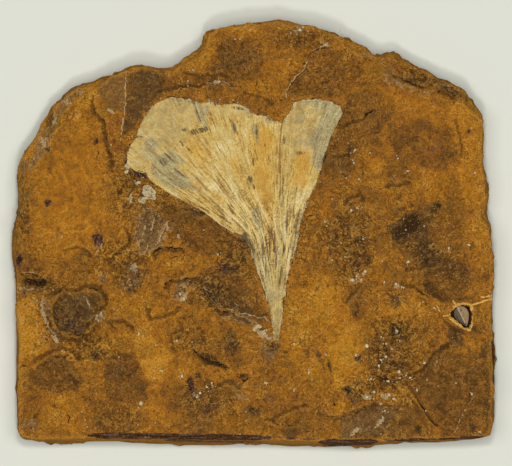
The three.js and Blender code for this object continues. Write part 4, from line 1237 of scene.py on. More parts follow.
# A second pair of painted shade and painted highlight lines, along the small noise.
crack_painted_shade = (1 - (knotty - 0.49).size().step(0.012, 0.05)) * crackled
crack_painted_highlight = (1 - (knotty - 0.56).size().step(0.012, 0.05)) * crackled
print("layers and lines bring it to", len(stone.tree.nodes), "nodes")

# %% [markdown]
# The base is a ramp from umber to bright ochre, driven by the tone mask and five sizes of noise.
# Rust, yellow and olive patches lie over it wherever the slow hue noise asks for them.

# %% The siltstone's base colour
grit = (1 + 0.6 * crumble).at_most(1.1)
tone = (
    0.57
    + 0.42 * stone.mask("tone")
    + 0.6 * (broad - 0.5)
    + 1.3 * (patchy - 0.5)
    + 1.2 * (small - 0.5)
    + grit * (0.9 * (fine - 0.5) + 0.5 * (dusty - 0.5))
)
stone.color = stone.ramp(tone, [
    (0.0, (0.102, 0.046, 0.011)),
    (0.2, (0.168, 0.072, 0.015)),
    (0.4, (0.260, 0.106, 0.017)),
    (0.6, (0.377, 0.148, 0.015)),
    (0.8, (0.490, 0.192, 0.016)),
    (1.0, (0.632, 0.290, 0.033)),
])
grained = 0.4 + 1.2 * fine
rusty = (stone.mask("rust") * 0.5 + 2.4 * (hue - 0.52) + 0.8 * (small - 0.5)).step(0.2, 0.6)
rust_color = stone.shade((0.357, 0.114, 0.017), grained)
stone.lay(rusty * 0.5, rust_color)
yellow = 1.5 - 2.4 * hue - 0.52 + 0.5 * stone.mask("tone") + 0.8 * (small - 0.5)
yellow_color = stone.shade((0.469, 0.204, 0.013), grained)
stone.lay(yellow.step(0.05, 0.45) * 0.5, yellow_color)
olive = (hue * 1.6 - 0.3 + 1.0 * (small - 0.5)).step(0.36, 0.24)
olive_color = stone.shade((0.255, 0.128, 0.020), 0.5 + fine)
stone.lay(olive * 0.45, olive_color)

# %% [markdown]
# The stains come next, each with its edge broken up by the small noise, and then the layers and
# the lines. Each is laid over what is there, so the order matters.

# %% Stains, layers and lines over it


def frayed(mask, by_small, by_fine):
    """A mask with an edge broken up by the small and the fine noise of its material."""
    return mask + by_small * (small - 0.5) + by_fine * (fine - 0.5)


ashen = frayed(stone.mask("ash"), 2.0, 0.8).step(0.38, 0.62)
ash_color = stone.ramp(0.5 * fine + 0.3 * wavy + 0.4 * small, [
    (0.46, (0.120, 0.064, 0.025)),
    (0.58, (0.285, 0.165, 0.066)),
    (0.72, (0.49, 0.33, 0.155)),
])
stone.lay(ashen * 0.75, ash_color)
smoked = frayed(stone.mask("smoke"), 1.0, 0.5).step(0.2, 0.6)
smoke_color = stone.shade((0.199, 0.112, 0.041), 0.1 + 1.2 * fine + 0.6 * wavy)
stone.lay(smoked * 0.7, smoke_color)
stained = frayed(stone.mask("umber") + 0.8 * (patchy - 0.5), 1.8, 0.7)
dark_brown = stone.shade((0.112, 0.058, 0.020), 0.1 + 1.1 * fine + 0.7 * wavy)
stone.lay(stained.step(0.36, 0.58) * 0.82, dark_brown)
# The painted highlights and painted shade of the layers and lines.
stone.lay(stair_crest_painted_highlight * showing * 0.5, (0.58, 0.30, 0.065))
stone.lay(stair_foot_painted_shade * showing * 0.65, (0.066, 0.030, 0.011))
stone.lay(crack_painted_highlight * 0.32, (0.56, 0.30, 0.070))
stone.lay(crack_painted_shade * 0.45, (0.056, 0.027, 0.010))
stone.lay(lip_painted_highlight * 0.42, (0.64, 0.34, 0.070))
stone.lay(crease_painted_shade * 0.6, (0.051, 0.023, 0.008))

# %% [markdown]
# Shade is painted into the hollows and a highlight onto the crests, and broken sides are worn
# lighter. The purplish black stain is mottled on the face, but on the sawn edge it lies in
# streaks, as the layers do there.

# %% Painted shade in hollows, painted highlight on crests, and the dark stain
# Painted shade in the hollows.
hollow_painted_shade = (stone.mask("cavity") + 0.5 * (fine - 0.5)).step(0.15, 0.8)
stone.lay(hollow_painted_shade * 0.62, (0.061, 0.029, 0.009))
# Painted highlight on what stands above its surroundings.
crest_painted_highlight = (1.3 * (fine - 0.5) - stone.mask("cavity")).step(0.45, 1.1)
stone.lay(crest_painted_highlight * 0.30, (0.530, 0.266, 0.047))
rimmed = (stone.mask("side") + 1.2 * (small - 0.5)).step(0.2, 0.7)
stone.lay(rimmed * 0.5, (0.530, 0.237, 0.033))
plummy = frayed(stone.mask("plum"), 1.6, 1.3).step(0.34, 0.5)
banded = fine + 0.75 * stone.mask("sawn") * (layered - fine)
plum_color = stone.ramp(banded, [
    (0.41, (0.011, 0.007, 0.007)),
    (0.50, (0.043, 0.020, 0.016)),
    (0.60, (0.163, 0.085, 0.060)),
])
stone.lay(plummy * 0.9, plum_color)

# %% [markdown]
# Last come the small things: soot, specks and flecks, pale chips, the painted shade in cracks, at
# the feet of steps, along the film's margin and in the seed's pocket, and the golden crust. The
# same noises give the relief.

# %% Specks, chips, painted shade and gold
soot = stone.mask("soot")
sooty = frayed(soot + 1.6 * (dusty - 0.5), 1.2, 2.2).step(0.50, 0.60)
stone.lay(sooty * 0.85, (0.027, 0.014, 0.007))
specks = (speck + 0.2 * (patchy - 0.5) + 0.02 * crumble).step(0.68, 0.73)
stone.lay(specks * 0.75, (0.056, 0.028, 0.013))
flecks = (speck - 0.2 * (patchy - 0.5) - 0.01 * crumble - 0.04 * soot).step(0.31, 0.26)
stone.lay(flecks * 0.6, (0.612, 0.361, 0.112))
paled = frayed(stone.mask("pale"), 1.0, 1.4).step(0.42, 0.6)
stone.lay(paled * 0.8, (0.551, 0.389, 0.195))
# Painted shade in cracks, at the feet of steps, along the film's margin and in the seed's pocket.
frayed_painted_shade = frayed(stone.mask("ink"), 0.9, 1.4).step(0.44, 0.66)
stone.lay(frayed_painted_shade * 0.88, (0.022, 0.011, 0.007))
golden = (stone.mask("gold") + 0.6 * (fine - 0.5)).step(0.35, 0.6)
gold_color = stone.shade((0.82, 0.47, 0.110), 0.6 + 0.8 * fine)
stone.lay(golden * 0.95, gold_color)
# Fine noise lightens and darkens it all: grain of the silt, and partly painted shade of tiny hollows
# in the rough surface.
stone.color = stone.shade(stone.color, 1 + grit * (0.8 * (dusty - 0.5) + 0.6 * (fine - 0.5)))
relief = (
    0.5 * small
    + 0.5 * fine
    + 0.3 * dusty
    + (0.06 + 0.05 * crumble) * stairs
    - 0.12 * (crease_painted_shade + crack_painted_shade)
)
slab.data.materials.clear()
slab.data.materials.append(stone.wear(0.74 + 0.2 * fine, relief, 1.0))
print("siltstone", len(stone.tree.nodes), "nodes")

# %% [markdown]
# The leaf itself is a film of pale minerals. It starts as a flat grid that is bent into the
# fan, and the rows and columns of the grid become the UV map. Ribs follow the veins: they fork
# on the way out, so 24 ribs at the stalk become 48 and then 96. A real film has flaked and its
# far margin is ragged, so the margins stray a little. The stalk's end of the grid is narrow, and
# its vertices are joined where they touch.

# %% The leaf film
COLUMNS = 300
ROWS = 190
FILM_TOP = 15.12  # height of the film
FILM_FOOT = 14.45  # height of its hidden underside, inside the rock
VEIN_COUNTS = (24, 48, 96)
FIRST_FORK = (0.28, 0.5)  # the stretch of the way out over which the veins fork
SECOND_FORK = (0.55, 0.85)
CLEFT_ACROSS = 0.722  # where the cleft between the lobes lies


def ribs(across, out):
    """Height of the veins from -1 to 1, forking twice on the way out."""
    once, twice, thrice = (np.cos(2 * np.pi * n * across) for n in VEIN_COUNTS)
    first = smooth(out, *FIRST_FORK)
    second = smooth(out, *SECOND_FORK)
    return once * (1 - first) + twice * first * (1 - second) + thrice * first * second


sheet = bmesh.new()
bmesh.ops.create_grid(sheet, x_segments=COLUMNS, y_segments=ROWS, size=0.5)
uv_layer = sheet.loops.layers.uv.new("veins")
for face in sheet.faces:
    for loop in face.loops:
        loop[uv_layer].uv = (loop.vert.co.x + 0.5, loop.vert.co.y + 0.5)
grid = np.array([vertex.co for vertex in sheet.verts])
across = grid[:, 0] + 0.5
out = grid[:, 1] + 0.5
fan_places = fan(across, out)

# Margins stray: the far one by teeth, the side ones a little.
teeth = 0.34 * wander(np.column_stack([across * 70, out * 3, 0 * out]), 1, 5, 4.0)
fan_places[:, 1] += teeth * smooth(out, 0.9, 1.0)
edge_stray = 0.30 * wander(np.column_stack([fan_places, 0 * out]), 0.9, 4, 30.0)
at_edge = 1 - smooth(np.minimum(across, 1 - across) * 50 * np.maximum(out, 0.1), 0.0, 0.6)
fan_places[:, 0] += edge_stray * at_edge

# Its relief: ribs, streaks, soft lumps and the cleft, and a border that slopes down.
streaks = wander(np.column_stack([across * 46, out * 3.2, 0 * out]), 1, 3, 11.0)
lumps = wander(np.column_stack([fan_places, 0 * out]), 5, 3, 51.0)
cleft = bell((across - CLEFT_ACROSS) / 0.006) * smooth(out, 0.35, 0.7)
film_rise = 0.012 * ribs(across, out) + 0.05 * streaks + 0.10 * lumps - 0.35 * cleft
inner = smooth(np.minimum.reduce([across * 2.2, (1 - across) * 2.2, (1 - out) * 8]), 0, 0.03)
for vertex, (px, py), up_by, kept in zip(sheet.verts, fan_places, film_rise, inner):
    vertex.co = Vector((px, py, FILM_TOP + up_by - 0.12 * (1 - kept))) * MM

# Its border is drawn down into the rock and closed underneath.
rim = [edge for edge in sheet.edges if edge.is_boundary]
skirt = bmesh.ops.extrude_edge_only(sheet, edges=rim)["geom"]
for vertex in (part for part in skirt if isinstance(part, bmesh.types.BMVert)):
    vertex.co.z = FILM_FOOT * MM
bmesh.ops.remove_doubles(sheet, verts=sheet.verts, dist=2 * TOUCHING)
open_edges = [edge for edge in sheet.edges if edge.is_boundary]
bmesh.ops.holes_fill(sheet, edges=open_edges, sides=0)
bmesh.ops.recalc_face_normals(sheet, faces=sheet.faces)
leaf = finished("leaf_film", sheet, "leaf")
print("leaf", len(leaf.data.vertices), "vertices")

# %% [markdown]
# Stains of the film are blobs again, measured in picture points. Grey, gold and cream ones tint
# broad parts of the leaf.

# %% Stains of the leaf
LEAF_GREY_PX = [
    (166, 164, 14, 10, 0.9, 38), (182, 180, 18, 6, 0.9, 38), (148, 150, 9, 12, 0.6),
    (163, 164, 6, 4, 0.6, 38), (330, 122, 9, 24, 1.1, 20), (322, 148, 7, 18, 1.0, 17),
    (318, 103, 18, 6, 0.9), (197, 110, 4, 14, 0.9, -22), (204, 120, 3, 10, 0.9, -22),
    (234, 128, 3, 7, 1.0, -10), (256, 134, 3, 12, 1.0, -8), (300, 225, 4, 16, 0.8, 12),
    (296, 250, 4, 16, 0.8, 12), (256, 216, 5, 12, 0.9, -10), (308, 142, 12, 7, 0.6),
    (340, 110, 5, 6, 0.8), (326, 126, 8, 26, 0.7, 18), (250, 110, 14, 4, 0.8, 15),
    (283, 290, 5, 10, 0.5), (270, 300, 8, 10, 0.4), (277, 255, 3, 12, 0.8),
    (292, 208, 5, 12, 0.5, 10), (186, 100, 20, 3, 0.4), (268, 119, 8, 4, 0.7, 20),
    (246, 222, 4, 10, 0.7, -25), (262, 238, 3, 14, 0.7, -8), (284, 232, 3, 14, 0.6, 5),
    (208, 196, 14, 3, 0.5, 38), (226, 212, 14, 3, 0.6, 38), (160, 112, 8, 6, 0.4),
    (318, 165, 5, 8, 0.6, 10), (158, 172, 8, 8, 0.9), (170, 182, 12, 8, 0.8, 38),
    (152, 142, 8, 6, 0.5, 30), (176, 156, 14, 4, 0.7, 42), (196, 178, 12, 3, 0.6, 42),
    (206, 110, 3, 9, 0.7, -25), (180, 98, 12, 3, 0.5), (162, 122, 6, 5, 0.4), (336, 104, 8, 6, 0.7),
]
LEAF_GOLD_PX = [
    (262, 165, 12, 42, 0.8, -5), (303, 162, 9, 14, 1.2, 10), (196, 150, 14, 10, 0.7, 35),
    (215, 205, 20, 10, 0.5, 35), (208, 172, 5, 14, 0.5, -40), (270, 215, 8, 24, 0.6),
    (300, 182, 9, 9, 0.9), (238, 172, 5, 18, 0.7, -25), (250, 200, 8, 16, 0.3),
    (222, 225, 12, 5, 0.5, 30), (268, 138, 10, 12, 0.6), (272, 245, 5, 20, 0.5),
    (236, 146, 10, 12, 0.3), (308, 122, 7, 9, 0.7), (133, 152, 5, 8, 0.5, 20),
    (240, 232, 8, 4, 0.5, 30), (212, 136, 10, 6, 0.5), (188, 138, 8, 6, 0.3, 30),
    (262, 185, 6, 16, 0.5, -5), (285, 196, 4, 20, 0.4, 5),
]
LEAF_CREAM_PX = [
    (150, 122, 12, 12, 0.3), (222, 152, 6, 10, 1.0, -30), (262, 270, 8, 16, 0.6),
    (276, 325, 6, 18, 0.5), (140, 150, 8, 10, 0.4), (214, 172, 5, 9, 1.1, -35),
    (213, 185, 5, 6, 0.9, -35), (235, 195, 5, 10, 0.9, -35), (262, 250, 5, 14, 0.5),
    (285, 178, 4, 14, 0.5, 5), (312, 112, 9, 8, 0.4), (273, 290, 10, 12, 0.5),
    (229, 140, 5, 8, 0.6, -15), (300, 200, 5, 10, 0.7, 10), (190, 112, 8, 8, 0.4),
    (258, 232, 3, 10, 0.6, -10), (306, 190, 5, 5, 0.5), (240, 182, 4, 8, 0.5, -30),
    (308, 122, 18, 22, -0.7), (280, 300, 8, 30, -0.2),
]

# %% [markdown]
# Two more lists: dark marks, which the film shows as bundles of short streaks, and calm parts,
# where it is smooth or crumbly and shows no streaks.

# %% Dark marks and calm parts
LEAF_DARK_PX = [
    (184, 130, 3, 2, 0.9), (194, 132, 3.5, 3, 1.0, 10), (204, 129, 4, 3, 1.1),
    (200, 131, 6, 2, 0.8, -10), (250, 179, 3, 3.5, 1.3, -15), (254, 187, 1.2, 3, 1.2, -15),
    (181, 143, 1.4, 4, 1.0, -35), (189, 150, 1.2, 6, 0.9, -38), (253, 162, 1.2, 5, 1.1, -8),
    (265, 145, 1.2, 3, 1.1, -10), (287, 284, 1.4, 3, 1.3, 10), (246, 236, 4, 5, 1.0, -20),
    (252, 246, 2, 8, 0.8, -15), (163, 162, 6, 5, 0.8, 40), (141, 174, 7, 3, 1.4, 15),
    (204, 210, 7, 2, 1.2, 32), (324, 158, 1.6, 8, 1.3, 17), (276, 262, 1.5, 12, 0.9),
    (284, 140, 1.4, 5, 1.2, 5), (292, 108, 1, 5, 0.8, 15), (193, 101, 3, 3, 1.0, -10),
    (216, 103, 3, 3, 1.1), (234, 128, 2, 6, 1.1, -10), (257, 132, 1.5, 8, 1.1, -8),
    (270, 250, 1.4, 12, 0.9, -3), (284, 250, 1.4, 10, 0.9, 3), (300, 153, 6, 2, 0.5),
    (139, 137, 5, 1, 1.1), (283, 190, 1, 26, 0.9), (178, 172, 12, 2, 0.8, 40),
    (170, 158, 10, 1.5, 0.8, 40), (186, 190, 10, 1.5, 0.7, 38), (225, 220, 14, 1.5, 0.9, 33),
    (262, 225, 1.2, 14, 0.8, -8), (292, 240, 1.4, 12, 0.8, 10), (254, 262, 2, 8, 0.9, -12),
    (238, 108, 8, 2, 0.8, 10), (270, 119, 6, 1.5, 0.9, 20), (232, 206, 1.2, 10, 0.8, -35),
    (213, 178, 1, 8, 0.7, -35), (296, 262, 1.5, 8, 0.9, 10), (300, 132, 5, 1.2, 0.5, 20),
    (330, 140, 1.2, 8, 0.8, 17), (198, 114, 1.2, 10, 0.9, -22), (268, 300, 1.2, 8, 0.7),
    (285, 298, 4, 2, 1.0, -30), (272, 338, 5, 3, 0.8), (296, 190, 1.2, 12, 0.7, 8),
    (240, 236, 9, 1.6, 1.2, 30), (250, 245, 1.6, 7, 1.2, -25), (300, 154, 5, 3, 0.4, 10),
    (305, 166, 1.2, 6, 0.6, 10), (222, 214, 1.5, 8, 0.8, -40), (266, 268, 1.2, 10, 0.9, -4),
    (281, 276, 1.2, 12, 0.9, 4), (272, 232, 1.2, 10, 0.9, -2), (204, 187, 1, 7, 0.6, -40),
]
LEAF_CALM_PX = [
    (160, 125, 30, 22, 1.0, 30), (182, 108, 22, 9, 0.8), (318, 112, 28, 18, 1.0),
    (312, 136, 24, 22, 0.9), (276, 315, 9, 24, 1.2), (272, 290, 12, 10, 0.7),
    (232, 110, 22, 6, 0.6, 8), (224, 136, 8, 8, 0.5), (140, 155, 12, 14, 0.7),
    (172, 172, 14, 8, 0.4, 38), (258, 178, 6, 6, 0.3),
]
leaf_places, _ = places_of(leaf.data)
flat = leaf_places * (1, 1, 0)
leaf_ground = Ground(
    leaf_places[:, 0],
    leaf_places[:, 1],
    0.5 * wander(flat, 2.5, 2, 61.0),
    0.5 * wander(flat, 2.5, 2, 77.0),
)
leaf_stains = {
    "grey": (LEAF_GREY_PX, 1.0),
    "gold": (LEAF_GOLD_PX, 1.0),
    "cream": (LEAF_CREAM_PX, 1.0),
    "dark": (LEAF_DARK_PX, 0.4),
    "calm": (LEAF_CALM_PX, 1.0),
}
for name, (list_px, share) in leaf_stains.items():
    store(leaf, name, blobs(leaf_ground, list_px, share))
margin_gap, _, _ = away_from(leaf_outline, leaf_ground.x, leaf_ground.y)
store(leaf, "margin", bell(margin_gap / 0.55))
print("leaf masks", list(leaf_stains), "margin")

# %% [markdown]
# The film's material draws the fine veins. Its pattern lives on the UV map, in which the veins
# are straight lines, so a stretched noise gives streaks that follow them round the fan. The
# veins themselves are cosines of "across", and fork where the ribs do.

# %% Streaks and veins
film = Finish("leaf_mineral_film", Specular_IOR_Level=0.05)
uv = film.node("ShaderNodeUVMap", {"uv_map": "veins"}, {}, "UV")
split_across = film.node("ShaderNodeSeparateXYZ", {}, {"Vector": uv}, "X")
split_out = film.node("ShaderNodeSeparateXYZ", {}, {"Vector": uv}, "Y")
where = film.place()
patchy = film.grain(where, 3.5, 4, 0.65, 0.8)
small = film.grain(where, 1.1, 4, 0.65, 0.5)
fine = film.grain(where, 0.45, 3, 0.65)
dusty = film.grain(where, 0.3, 2, 0.6)


def streak(columns, rows, detail=3.0, shift=0.0):
    """Noise stretched along the veins, by its counts across and outwards."""
    return film.noise(uv, (shift, shift, 0), (columns, rows, 1), detail, 0.65, 0.3)


wide_streak = streak(16, 3.0)
thin_streak = streak(60, 7.0, 4.0, 7.0)
hair_streak = streak(150, 18.0, 3.0, 3.0)
sway = 0.004 * (streak(12, 5.0, 2.0, 5.0) - 0.5)
forked_once = split_out.step(*FIRST_FORK)
forked_twice = split_out.step(*SECOND_FORK)
turns = [((split_across + sway) * (2 * math.pi * n)).cosine() for n in VEIN_COUNTS]
outer = turns[1] * (1 - forked_twice) + turns[2] * forked_twice
vein = turns[0] * (1 - forked_once) + forked_once * outer
print("veins made with", len(film.tree.nodes), "nodes")

# %% [markdown]
# The film's own colour runs from brown to cream. Calm parts show few streaks, and near the stalk,
# where the film is low and broken, the streaks are coarser and shorter.

# %% The film's base colour
calm = film.mask("calm").at_most(1.0)
lively = 1 - 0.75 * calm
low = split_out.step(0.72, 0.42)
low_streak = streak(15, 11.0, 4.0, 11.0)
upper = 0.5 * (wide_streak - 0.5) + 1.5 * (thin_streak - 0.5) + 1.1 * (hair_streak - 0.5)
lower = 0.5 * (wide_streak - 0.5) + 2.0 * (low_streak - 0.5) + 1.6 * (thin_streak - 0.5)
streaked = upper + low * (lower - upper) + 0.05 * vein
crumbly = (1 - 0.4 * calm) * (0.6 * (small - 0.5) + 0.7 * (fine - 0.5) + 0.4 * (dusty - 0.5))
tone = (
    0.53
    + lively * streaked
    + crumbly
    + (0.5 + 0.5 * calm) * (patchy - 0.5)
    - 0.10 * calm
    + 0.12 * low
    + 0.25 * film.mask("cream")
)
film.color = film.ramp(tone, [
    (0.05, (0.190, 0.100, 0.032)),
    (0.25, (0.380, 0.212, 0.050)),
    (0.42, (0.500, 0.320, 0.088)),
    (0.55, (0.560, 0.380, 0.108)),
    (0.75, (0.630, 0.475, 0.180)),
    (0.95, (0.700, 0.590, 0.310)),
])

# %% [markdown]
# Gold, dull, grey, brown and amber tints follow, each broken up along the streaks.

# %% Tints of the film
golden = film.mask("gold") + 1.2 * (thin_streak - 0.5)
gilded = golden + 0.9 * (patchy - 0.5) + 0.5 * (fine - 0.5)
gold_color = film.ramp(hair_streak + 0.6 * (fine - 0.5), [
    (0.28, (0.34, 0.155, 0.024)),
    (0.5, (0.60, 0.36, 0.068)),
    (0.7, (0.68, 0.48, 0.14)),
])
film.lay(gilded.step(0.25, 0.7) * 0.85, gold_color)
dulled = film.shade((0.415, 0.305, 0.116), 0.1 + 0.6 * fine + 1.2 * patchy)
film.lay(calm * 0.62, dulled)
cloudy = film.grain(where, 2.4, 4, 0.65, 1.2, (4, 2, 8)) + 0.3 * (fine - 0.5)
film.lay(calm * cloudy.step(0.52, 0.62) * 0.75, (0.330, 0.265, 0.120))
film.lay(calm * cloudy.step(0.46, 0.37) * 0.75, (0.610, 0.450, 0.170))
hairs = (hair_streak + 0.5 * (thin_streak - 0.5)).step(0.56, 0.66) * calm * (1 - low)
film.lay(hairs * 0.4, (0.70, 0.56, 0.28))
greyed = frayed(film.mask("grey") + 1.1 * (thin_streak - 0.5), 0.9, 0.8)
grey_color = film.ramp(0.4 * fine + 0.5 * thin_streak + 0.3 * hair_streak - 0.1, [
    (0.36, (0.145, 0.112, 0.062)),
    (0.5, (0.350, 0.282, 0.135)),
    (0.64, (0.53, 0.45, 0.23)),
])
film.lay(greyed.step(0.4, 0.75) * 0.85, grey_color)
browned = ((thin_streak - 0.5) + 0.9 * (hair_streak - 0.5)).step(-0.10, -0.24) * (1 - 0.9 * calm)
film.lay(browned * 0.55, (0.27, 0.125, 0.038))
ambered = (golden + 0.8 * (small - 0.5)).step(0.65, 1.0)
film.lay(ambered * 0.6, (0.52, 0.26, 0.040))

# %% [markdown]
# Near the stalk the film is torn into dark gaps and bright shreds. Its margin has flaked, a
# painted shadow lies along it in pieces, and the dark marks come last.

# %% Shreds, flakes, the margin's painted shadow and dark marks
ragged = (low_streak - 0.5) + 0.7 * (thin_streak - 0.5) + 0.5 * (fine - 0.5)
gaps = ragged.step(-0.04, -0.11) * low * lively
film.lay(gaps * 0.85, (0.165, 0.092, 0.048))
shreds = ragged.step(0.03, 0.09) * low * lively
film.lay(shreds * 0.85, (0.76, 0.53, 0.16))
bleached = (ragged + 0.9 * (wide_streak - 0.5)).step(0.10, 0.20) * low * lively
film.lay(bleached * 0.7, (0.76, 0.63, 0.33))
at_margin = film.mask("margin")
flaked = 0.8 * at_margin + 1.0 * (fine - 0.5) + 2.0 * (small - 0.5) + 1.6 * (patchy - 0.5)
film.lay(flaked.step(0.62, 0.85) * 0.6, (0.64, 0.53, 0.31))
# Painted shadow in pieces along the film's margin.
film_margin_painted_shadow = (0.8 * at_margin + 2.0 * (dusty - 0.5) + 2.4 * (small - 0.5)).step(1.0, 1.15)
film.lay(film_margin_painted_shadow * 0.85, (0.085, 0.050, 0.026))
darkness = film.mask("dark") * (0.5 + 2.6 * (hair_streak - 0.5) + 1.6 * (fine - 0.5))
film.lay(darkness.step(0.28, 0.46) * 0.85, (0.075, 0.050, 0.028))
film.color = film.shade(film.color, 0.755 + 0.35 * dusty + 0.4 * fine)
streak_relief = 0.35 * thin_streak + 0.3 * hair_streak + 0.5 * low * low_streak
relief = lively * streak_relief + 0.02 * vein + 0.3 * fine + 0.3 * dusty
leaf.data.materials.clear()
leaf.data.materials.append(film.wear(0.70 + 0.2 * fine, relief, 0.8))
print("leaf film", len(film.tree.nodes), "nodes")

# %% [markdown]
# Where the film has flaked, crumbs and shards of it lie on the rock beside its margin. A crumb is
# a lump with twenty faces. A shard is a flat disc with a torn outline, extruded to a plate.

# %% Crumbs and shards of the film
# Each run of crumbs: how many, how far they scatter in mm, and the stretch of margin.
CRUMBS_PX = [
    (40, 0.45, [
        (196, 101), (215, 101), (234, 102), (245, 105), (254, 112), (266, 115), (280, 121)]),
    (18, 0.50, [
        (128, 160), (128, 150), (133, 141), (138, 134), (145, 116), (153, 105), (162, 100)]),
    (20, 0.50, [
        (160, 189), (176, 198), (190, 205), (206, 214), (220, 226), (234, 234), (247, 242)]),
    (14, 0.60, [(253, 256), (258, 270), (264, 287), (268, 300), (271, 320)]),
    (22, 0.60, [
        (323, 166), (316, 184), (308, 200), (303, 214), (298, 232), (296, 250), (290, 266)]),
    (10, 0.50, [(287, 284), (285, 298), (284, 312), (282, 326)]),
    (12, 0.40, [(284, 119), (291, 110), (296, 101), (306, 98), (318, 97), (334, 101), (343, 107)]),
    (16, 0.60, [(272, 336), (262, 332), (254, 327)]),
    (18, 1.40, [(132, 178), (140, 188), (150, 198), (158, 204)]),
]
# Each shard: middle, two half sizes and turn in degrees.
SHARDS_PX = [
    (149, 193, 8, 6, -50), (142, 200, 4, 3, 10), (129, 165, 5, 3.5, 60), (131, 198, 5, 2, 80),
    (126, 172, 3, 2, 40), (257, 328, 5, 2.6, 30), (263, 333, 5, 2.4, 35), (138, 183, 3.4, 1.6, 20),
]


def ground_at(px, py):
    """Place and height of the rock under a picture point, in millimetres."""
    (gx, gy), = spots([(px, py)])
    above = Vector((gx, gy, 2 * LEVEL)) * MM
    hit, ground, _, _ = slab.ray_cast(above, Vector((0, 0, -1)))
    return gx, gy, (ground.z / MM if hit else LEVEL)


def add_lump(bm, middle, halves, seed_number):
    """A lump with twenty faces, its shape set by a number."""
    for vertex in bmesh.ops.create_icosphere(bm, subdivisions=1, radius=1.0)["verts"]:
        lump = 1 + 1.1 * noise.noise(vertex.co * 1.9 + Vector((seed_number * 3.7, 0, 0)))
        vertex.co = (Vector(middle) + vertex.co * lump * Vector(halves)) * MM


SHARD_SUNK = 0.1  # how deep a shard's foot is sunk
SHARD_THICK = 0.22

crumbs = bmesh.new()
chance = np.random.default_rng(11)
for how_many, scatter, line in CRUMBS_PX:
    for middle in along(np.array(line, dtype=float), chance.random(how_many)):
        gx, gy, gz = ground_at(*(middle + chance.normal(0, scatter * POINTS_PER_MM, 2)))
        half = 0.06 + 0.18 * chance.random() ** 3
        halves = (half * 1.3, half, half * 0.7)
        add_lump(crumbs, (gx, gy, max(gz, LIFTED_BED)), halves, len(crumbs.verts))
for number, (px, py, wide, tall, turn) in enumerate(SHARDS_PX):
    gx, gy, gz = ground_at(px, py)
    disc = bmesh.ops.create_circle(crumbs, cap_ends=True, segments=22, radius=1.0)["verts"]
    for vertex in disc:
        torn = 1 + 0.45 * noise.noise(vertex.co * 1.6 + Vector((number * 5.3, 2, 0)))
        vertex.co = Vector((vertex.co.x * torn * wide, vertex.co.y * torn * tall, 0)) / POINTS_PER_MM
    spin = Matrix.Rotation(math.radians(turn), 3, "Z")
    bmesh.ops.rotate(crumbs, verts=disc, cent=(0, 0, 0), matrix=spin)
    bmesh.ops.translate(crumbs, verts=disc, vec=(gx, gy, gz - SHARD_SUNK))
    bmesh.ops.scale(crumbs, verts=disc, vec=(MM, MM, MM))
    plate_face = next(face for face in disc[0].link_faces if len(face.verts) > 4)
    raised = bmesh.ops.extrude_face_region(crumbs, geom=[plate_face])["geom"]
    raised = [part for part in raised if isinstance(part, bmesh.types.BMVert)]
    bmesh.ops.translate(crumbs, verts=raised, vec=(0, 0, SHARD_THICK * MM))
bmesh.ops.recalc_face_normals(crumbs, faces=crumbs.faces)
crumb_piece = finished("film_crumbs", crumbs)
crumb_piece.data.shade_flat()
crumb_finish = Finish("flaked_film", Specular_IOR_Level=0.05)
where = crumb_finish.place()
fine = crumb_finish.grain(where, 0.4, 3, 0.6)
small = crumb_finish.grain(where, 0.9, 3, 0.6, 1.0)
crumb_finish.color = crumb_finish.ramp(0.6 * fine + 0.4 * small, [
    (0.38, (0.13, 0.090, 0.050)),
    (0.47, (0.36, 0.275, 0.140)),
    (0.60, (0.57, 0.46, 0.25)),
])
crumb_piece.data.materials.append(crumb_finish.wear(0.7 + 0.2 * fine, fine, 0.15))
print("crumbs", len(crumb_piece.data.polygons), "faces")

# %% [markdown]
# The seed is a small drop with a blunt end and a keel, and part of an outer coat still on its
# lower left. A ball is squeezed into the drop with the same few moves as the CAD solid. Four
# masks are kept for its finish: the keel, the groove where the coat ends, with a notch near the
# blunt end, the painted shade round its edge, and how far to the right a place lies.

# %% The seed
SEED_TURN = math.radians(24)
SEED_HALF_X = 2.40
SEED_HALF_Y = 3.02
seed_low, seed_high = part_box("seed")
seed_mesh = bmesh.new()
keel_layer, groove_layer, side_layer, shaded_edge_layer = (
    seed_mesh.verts.layers.float.new(name) for name in ("keel", "groove", "right_side", "edge")
)
bmesh.ops.create_uvsphere(seed_mesh, u_segments=72, v_segments=48, radius=1.0)
for vertex in seed_mesh.verts:
    px, py, pz = vertex.co.x, vertex.co.z, vertex.co.y
    towards_tip = (1 - py) / 2
    pinch = 1 - 0.82 * towards_tip**2.2
    keel = 0.26 * math.exp(-((px / 0.16) ** 2)) * max(0.0, pz)
    tall = max(-0.62, pz + keel) * (1 - 0.35 * towards_tip**2) * (2.2 / 1.9)
    angle = math.atan2(py + 0.1, px)
    coat = smooth(np.array(-math.cos(angle - math.radians(40))), 0.2, 0.6)
    radius = math.hypot(px, py)
    groove = math.exp(-(((radius - 0.72) / 0.06) ** 2)) * float(coat)
    tall -= 0.22 * groove * (pz > 0)
    folds = Vector((px * 3, py * 1.2, pz * 3)) + Vector((5, 5, 5))
    wrinkle = 0.05 * noise.fractal(folds, 0.9, 2.1, 3)
    vertex[keel_layer] = math.exp(-(((px + 0.08) / 0.11) ** 2)) * (pz > 0)
    notch = math.exp(-(((px - 0.14) / 0.10) ** 2) - ((py - 0.5) / 0.09) ** 2)
    vertex[groove_layer] = max(groove, 0.8 * notch) * (pz > 0)
    # Painted shade round the edge, standing for the shadowed gap between the seed and the rock.
    vertex[shaded_edge_layer] = float(smooth(np.array(radius), 0.80, 0.92))
    vertex[side_layer] = px
    vertex.co = Vector((px * pinch * SEED_HALF_X, py * SEED_HALF_Y - 0.20, tall + wrinkle))
spin = Matrix.Rotation(SEED_TURN, 3, "Z")
